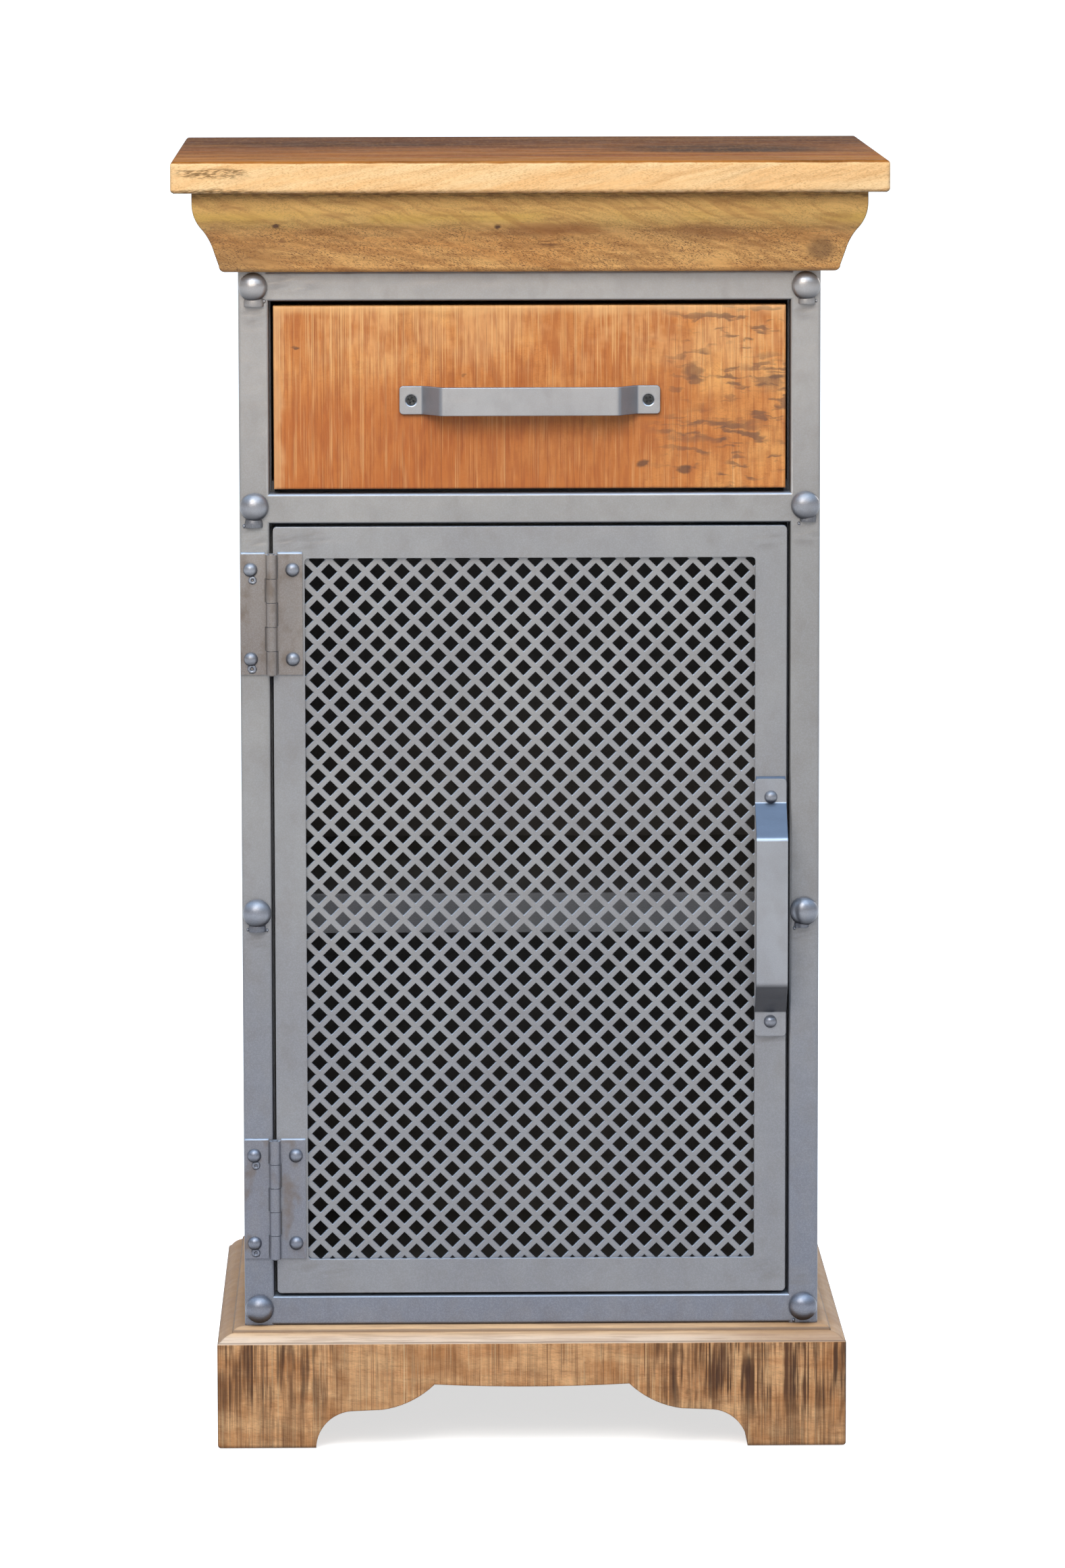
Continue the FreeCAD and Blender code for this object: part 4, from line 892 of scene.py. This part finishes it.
tubes = sorted(n for n in nodes if n.startswith(("post_", "rail_")))
blocks = []
for n in tubes:
    low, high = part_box(n)
    into = Vector((0, 0, 0))
    if n.startswith(("rail_front", "rail_back")):
        into.x = INTO_POST
    elif n.startswith("rail_"):
        into.y = INTO_POST
    blocks.append(tube(low - into, high + into))
skin = unite(blocks)
seat(skin, "welded_frame", "cabinet", "frame_paint", stands_for=tubes, weigh=True)
print("frame", len(tubes), "tubes,", len(skin.data.polygons), "faces")

# %% [markdown]
# The door is a picture frame of angle steel, welded and ground like the cabinet's frame.
# Each member is two blocks, the flange that is seen and the leg behind it, and a union of
# all eight is one skin without a mitre line. Its outer corners and the corners of the
# window are rounded first, over the depth of the steel, and then every edge.

# %% Door frame
ANGLE_THICK = 3.0 * MM
CORNER_ROUND = 2.4 * MM
EDGE_ROUND = 0.9           # in mm
members = {"door_stile_left": (0, -1), "door_stile_right": (0, 1), "door_rail_top": (2, 1),
           "door_rail_bottom": (2, -1)}      # the axis across each, and the side its leg is on
blocks = []
for n, (axis, side) in members.items():
    low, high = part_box(n)
    flange_back, leg_low, leg_high = high.copy(), low.copy(), high.copy()
    flange_back.y = low.y + ANGLE_THICK
    if side < 0:
        leg_high[axis] = low[axis] + ANGLE_THICK
    else:
        leg_low[axis] = high[axis] - ANGLE_THICK
    blocks += [block(low, flange_back), block(leg_low, leg_high)]
door_skin = unite(blocks)
join_flats(door_skin)


def runs_through(line):
    """True for an edge that runs from front to back at a corner of the door or of its window."""
    a, b = ends_of(door_skin, line)
    return abs(a.x - b.x) + abs(a.z - b.z) < NEAR and min(a.y, b.y) < low.y + NEAR


select_parts(door_skin, "EDGE", runs_through)
bpy.ops.mesh.bevel(offset=CORNER_ROUND, affect="EDGES", segments=5)
round_edges(door_skin, EDGE_ROUND, 3, sharper_than=40)
seat(door_skin, "door_frame_welded", "door", "door_paint", stands_for=members, weigh=True)
print("door frame", len(door_skin.data.polygons), "faces")

# %% [markdown]
# The door sheet is punched steel with square holes set on their corners, about 15 mm
# from corner to corner, too many for the CAD solid. It is modelled as it is punched: a
# grid whose lines are the strands' middles is bevelled, which turns each line into a
# strand, each crossing into a small square and each cell into a hole. The holes are
# deleted, and the sheet is turned by 45 degrees, stood up, trimmed and thickened. The
# press rounds the lip of each hole on one side, so the rising strands have a bright line
# along their upper edge; a chamfer there makes it.

# %% Perforated sheet
HOLE_PITCH = 15.4 * MM                # hole to hole along a row, corner to corner
CELL = HOLE_PITCH / math.sqrt(2)      # hole spacing along a strand
STRAND = 3.66 * MM
SHEET_THICK = 1.5 * MM
LIP_CUT = 0.45 * MM
CELLS = 54
FIRST_HOLE = Vector((-127.5, 0, 563.2)) * MM      # the middle of one hole, read in the photograph
low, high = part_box("door_mesh")

object_mode()
bpy.ops.mesh.primitive_grid_add(x_subdivisions=CELLS, y_subdivisions=CELLS, size=CELLS * CELL)
sheet = bpy.context.object
whole(sheet)
bpy.ops.mesh.bevel(offset=STRAND / 2, affect="EDGES", segments=1)
hole_area = (CELL - STRAND) ** 2
select_parts(sheet, "FACE", lambda face: face.area > 0.9 * hole_area)
bpy.ops.mesh.delete(type="FACE")
object_mode()
sheet.matrix_world = Matrix.Rotation(math.radians(90), 4, "X") @ Matrix.Rotation(math.radians(45), 4, "Z")
set_down(sheet)
# With an even number of cells the grid's middle is a crossing, and a hole's middle is half a pitch away.
middle = (low + high) / 2
ahead = FIRST_HOLE - middle
crossing = Vector((middle.x + ahead.x - round(ahead.x / HOLE_PITCH) * HOLE_PITCH, low.y,
                   middle.z + ahead.z - round(ahead.z / HOLE_PITCH) * HOLE_PITCH + HOLE_PITCH / 2))
sheet.location = crossing
set_down(sheet)
for plane_co, plane_no in ((low, (-1, 0, 0)), (low, (0, 0, -1)), (high, (1, 0, 0)), (high, (0, 0, 1))):
    whole(sheet)
    bpy.ops.mesh.bisect(plane_co=plane_co, plane_no=plane_no, clear_outer=True)
whole(sheet)
bpy.ops.mesh.extrude_region_move(TRANSFORM_OT_translate={"value": (0, SHEET_THICK, 0)})
bpy.ops.mesh.select_all(action="SELECT")
bpy.ops.mesh.normals_make_consistent(inside=False)


def on_bright_lip(line):
    """True for a front edge of a hole that lies on the upper side of a rising strand."""
    a, b = (end - crossing for end in ends_of(sheet, line))
    on_back = max(a.y, b.y) > 0.1 * MM
    is_rising = abs((b - a).x - (b - a).z) <= 2 * NEAR
    if on_back or not is_rising or (b - a).length > 1.2 * (CELL - STRAND):
        return False
    across = (a.z - a.x) / math.sqrt(2) / CELL
    along = ((a + b).x + (a + b).z) / 2 / math.sqrt(2) / CELL
    beside_hole = abs(along - round(along)) * CELL > 0.6 * STRAND
    return beside_hole and abs((across - round(across)) * CELL - STRAND / 2) < 0.1 * MM


select_parts(sheet, "EDGE", on_bright_lip)
bpy.ops.mesh.bevel(offset=LIP_CUT, affect="EDGES", segments=1, clamp_overlap=True)
seat(sheet, "door_perforated_sheet", "door", "door_paint", stands_for=("door_mesh",), sharp=20)
print("sheet", len(sheet.data.polygons), "faces")

# %% [markdown]
# Rivet heads and welds are lumps of metal, none quite round. One helper starts from a
# coarse ball, shakes its points a little, smooths it with subdivision and cuts it flat
# where it sits on the steel. The same helper makes the big domes on the posts, the small
# heads on hinges and pull, and the tack welds and spatter around them.

# %% Lumps of metal


def lump(name, centre, size, seat_y, body, shake=0.02, seed=1, lean=0.0, flat_below=0):
    """A rounded lump, centre and half sizes in mm, cut flat at seat_y where it sits on the steel.

    lean turns it in the plane of the steel, in degrees; flat_below is a height where its
    foot is cut off level."""
    object_mode()
    bpy.ops.mesh.primitive_uv_sphere_add(segments=12, ring_count=8, radius=1.03,
                                         rotation=(math.pi / 2, 0, 0))
    piece = set_down(bpy.context.object)
    whole(piece)
    bpy.ops.transform.vertex_random(offset=shake, seed=seed)
    modify(piece, "SUBSURF", levels=2, render_levels=2)
    turn = Matrix.Rotation(math.radians(lean), 4, "Y")
    piece.matrix_world = placed(Vector(centre) * MM, [s * MM for s in size], turn)
    set_down(piece)
    cuts = [((0, seat_y * MM, 0), (0, 1, 0))]
    if flat_below:
        cuts.append(((0, 0, flat_below * MM), (0, 0, -1)))
    for plane_co, plane_no in cuts:
        whole(piece)
        bpy.ops.mesh.bisect(plane_co=plane_co, plane_no=plane_no, use_fill=True, clear_outer=True)
    paint = finishes["weld_paint" if "weld" in name else "rivet_paint"]
    return seat(piece, name, body, "rivet_paint", paint, sharp=40)


print("lump helper ready")

# %% Domes on the posts
POST_FACE = -134.0      # front face, in mm
DOME_X = 174.5
DOME_WIDE, DOME_TALL = 19.0, 8.0
DOME_AHEAD = 1.4        # how far the ball's middle lies in front of the post
dome_rows = (744.2, 605.0, 344.8, 88.0)
dome_places = [(x, row) for row in dome_rows for x in (-DOME_X, DOME_X)]
for number, (x, row) in enumerate(dome_places, 1):
    dome = lump(f"dome_rivet_{number}", (x, POST_FACE - DOME_AHEAD, row),
                (DOME_WIDE / 2, DOME_TALL - DOME_AHEAD, DOME_WIDE / 2), POST_FACE, "cabinet", seed=number)
    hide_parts("frame_rivets")
print("domes", len(dome_places))

# %% Tack welds under the domes
tacks = (      # x, the dome's z, half width, how far below the dome, lean
    (-174.0, 744.2, 6.6, 2.8, 0), (175.2, 744.2, 5.6, 2.0, 0), (-175.0, 605.0, 6.0, 3.6, 0),
    (176.4, 605.0, 5.4, 0.9, 8), (-174.4, 344.8, 5.8, 2.4, 0), (173.0, 344.8, 4.8, 0.9, 8))
for number, (x, z, wide, below, lean) in enumerate(tacks, 1):
    foot = z - DOME_WIDE / 2 - below
    lump(f"tack_weld_{number}", (x, POST_FACE - 0.2, foot + 1.6), (wide, 4.2, 7.5), POST_FACE, "cabinet",
         shake=0.05, seed=20 + number, lean=lean, flat_below=foot)
spatters = (    # x, z, size
    (-167.6, 735.2, 1.2), (-168.2, 333.8, 1.0), (-180.4, 334.2, 0.9), (168.4, 333.8, 1.0),
    (170.6, 593.4, 1.0), (-181.0, 592.8, 1.2), (168.6, 78.8, 1.1), (181.0, 734.6, 0.9))
for number, (x, z, size) in enumerate(spatters, 1):
    lump(f"spatter_{number}", (x, POST_FACE, z), (size, 1.2 * size, 1.2 * size), POST_FACE, "cabinet",
         shake=0.12, seed=40 + number)
print("tack welds", len(tacks), "spatters", len(spatters))

# %% [markdown]
# The hinge leaves are held by snap-head rivets, 9 mm across. Next to each one on the
# frame side the welder's rod left a small ring of slag, which the photograph shows as a
# second, darker blob. Two more rivets hold the door pull.

# %% Hinge and pull rivets
LEAF_FACE, PULL_FOOT_FACE = -135.6, -137.5      # front faces, in mm
FRAME_ROW_X, DOOR_ROW_X, PULL_ROW_X = -177.3, -150.7, 153.0
hinge_rows = (565.0, 508.0, 188.0, 131.0)
hinge_head = (4.7, 3.6, 4.7)           # half sizes
for number, z in enumerate(hinge_rows, 1):
    for side, x, body, seed in (("frame", FRAME_ROW_X, "cabinet", 60), ("door", DOOR_ROW_X, "door", 70)):
        lump(f"hinge_rivet_{side}_{number}", (x, LEAF_FACE, z), hinge_head, LEAF_FACE, body,
             seed=seed + number)
pull_head = (4.35, 3.5, 4.35)
for number, z in enumerate((274.0, 418.8), 1):
    lump(f"pull_rivet_{number}", (PULL_ROW_X, PULL_FOOT_FACE, z), pull_head, PULL_FOOT_FACE, "door",
         seed=80 + number)
print("small rivets", 2 * len(hinge_rows) + 2)

# %% Rings of slag
slag = (      # how far to the right of the rivets, z, radius
    (1.3, 558.4, 1.7), (0.7, 501.8, 1.9), (1.1, 181.6, 1.7), (0.6, 124.8, 1.8))
for number, (aside, z, radius) in enumerate(slag, 1):
    object_mode()
    bpy.ops.mesh.primitive_torus_add(
        major_radius=radius * MM, minor_radius=0.62 * radius * MM, major_segments=18, minor_segments=10,
        location=((FRAME_ROW_X + aside) * MM, LEAF_FACE * MM, z * MM), rotation=(math.pi / 2, 0, 0))
    ring = bpy.context.object
    whole(ring)
    bpy.ops.transform.vertex_random(offset=0.3 * MM, seed=90 + number)
    seat(ring, f"slag_ring_{number}", "cabinet", "rivet_paint", sharp=60)
print("slag rings", len(slag))

# %% [markdown]
# The drawer pull has two countersunk Phillips screws. A cone makes the head, its back
# face is extruded into the shank, its front gets a groove inside the rim, and a Boolean
# with two crossed blocks cuts the recess.

# %% Phillips screws
SCREW_FACE = -136.8 * MM
SCREW_HIGH = 672.5 * MM
HEAD_DEEP, SHANK_LONG = 2.0 * MM, 12.0 * MM
RECESS = (4.4 * MM, 2.6 * MM, 1.2 * MM)      # one of the two blocks


def phillips(name, x, lean):
    """A countersunk screw, head flush with the pull's foot."""
    object_mode()
    bpy.ops.mesh.primitive_cone_add(
        vertices=32, radius1=4.0 * MM, radius2=4.3 * MM, depth=HEAD_DEEP,
        location=(x, SCREW_FACE + HEAD_DEEP / 2, SCREW_HIGH), rotation=(math.pi / 2, 0, 0))
    screw = set_down(bpy.context.object)
    select_parts(screw, "FACE", lambda face: face.normal.y > 0.9)
    bpy.ops.mesh.inset(thickness=2.3 * MM)
    bpy.ops.mesh.extrude_region_move(TRANSFORM_OT_translate={"value": (0, SHANK_LONG, 0)})
    select_parts(screw, "FACE", lambda face: face.normal.y < -0.9)
    for flat, wall, deep in ((0.08, 0.1, 1.6), (0.75, 0.15, -1.55)):      # down, and up again
        bpy.ops.mesh.inset(thickness=flat * MM)
        bpy.ops.mesh.inset(thickness=wall * MM)
        bpy.ops.transform.translate(value=(0, deep * MM, 0))
    object_mode()
    for quarter in (0, 90):
        bpy.ops.mesh.primitive_cube_add(size=1)
        cutter = bpy.context.object
        turn = Matrix.Rotation(math.radians(lean + quarter), 4, "Y")
        cutter.matrix_world = placed((x, SCREW_FACE, SCREW_HIGH), RECESS, turn)
        modify(screw, "BOOLEAN", operation="DIFFERENCE", object=cutter)
        bpy.data.objects.remove(cutter)
    return seat(screw, name, "drawer", "", screw_black)


for number, (x, lean) in enumerate(((-75.0 * MM, 22), (75.0 * MM, 35)), 1):
    made = phillips(f"pull_screw_{number}", x, lean)
    print(made.name, len(made.data.polygons), "faces")

# %% [markdown]
# Welds closed the joints of frame and door before they were ground and sprayed. What is
# left are sloping beads along the upper edges of the hinge leaves and the pull's foot,
# which catch the sky. The shallow ridges that the grinder left near the joints are in
# the lacquer's relief.

# %% Beads


def bead(name, x0, x1, z, tall, proud, body, slot, seed):
    """A weld bead on the door or a post, from x0 to x1 in mm, that leans back to the steel above it."""
    low, high = Vector((x0, POST_FACE - proud, z)) * MM, Vector((x1, POST_FACE, z + tall)) * MM
    middle = (low + high) / 2
    piece = block(low, high)

    def is_long(line):
        a, b = ends_of(piece, line)
        return abs(a.x - b.x) > 0.5 * (high.x - low.x)

    select_parts(piece, "EDGE", is_long)
    bpy.ops.mesh.subdivide(number_cuts=7)
    select_parts(piece, "VERT", lambda point: point.co.y < middle.y and point.co.z > middle.z)
    bpy.ops.transform.translate(value=(0, 0.9 * proud * MM, 0))
    bpy.ops.transform.vertex_random(offset=0.16 * MM, seed=seed)
    bpy.ops.mesh.select_all(action="SELECT")
    bpy.ops.mesh.normals_make_consistent(inside=False)
    modify(piece, "BEVEL", width=0.25 * MM, segments=2)
    return seat(piece, name, body, slot, sharp=50)


bead("bead_hinge_frame_upper", -183.4, -168.0, 574.9, 1.3, 1.5, "cabinet", "frame_paint", 1)
bead("bead_hinge_door_upper", -160.2, -144.4, 574.9, 1.5, 1.6, "door", "door_paint", 2)
bead("bead_hinge_frame_lower", -183.4, -168.0, 197.9, 1.1, 1.4, "cabinet", "frame_paint", 3)
bead("bead_hinge_door_lower", -160.2, -144.4, 197.9, 1.1, 1.4, "door", "door_paint", 4)
bead("bead_pull_foot", 143.6, 162.4, 429.4, 2.2, 2.8, "door", "pull_paint", 5)
print("welds ready")

# %% Finish
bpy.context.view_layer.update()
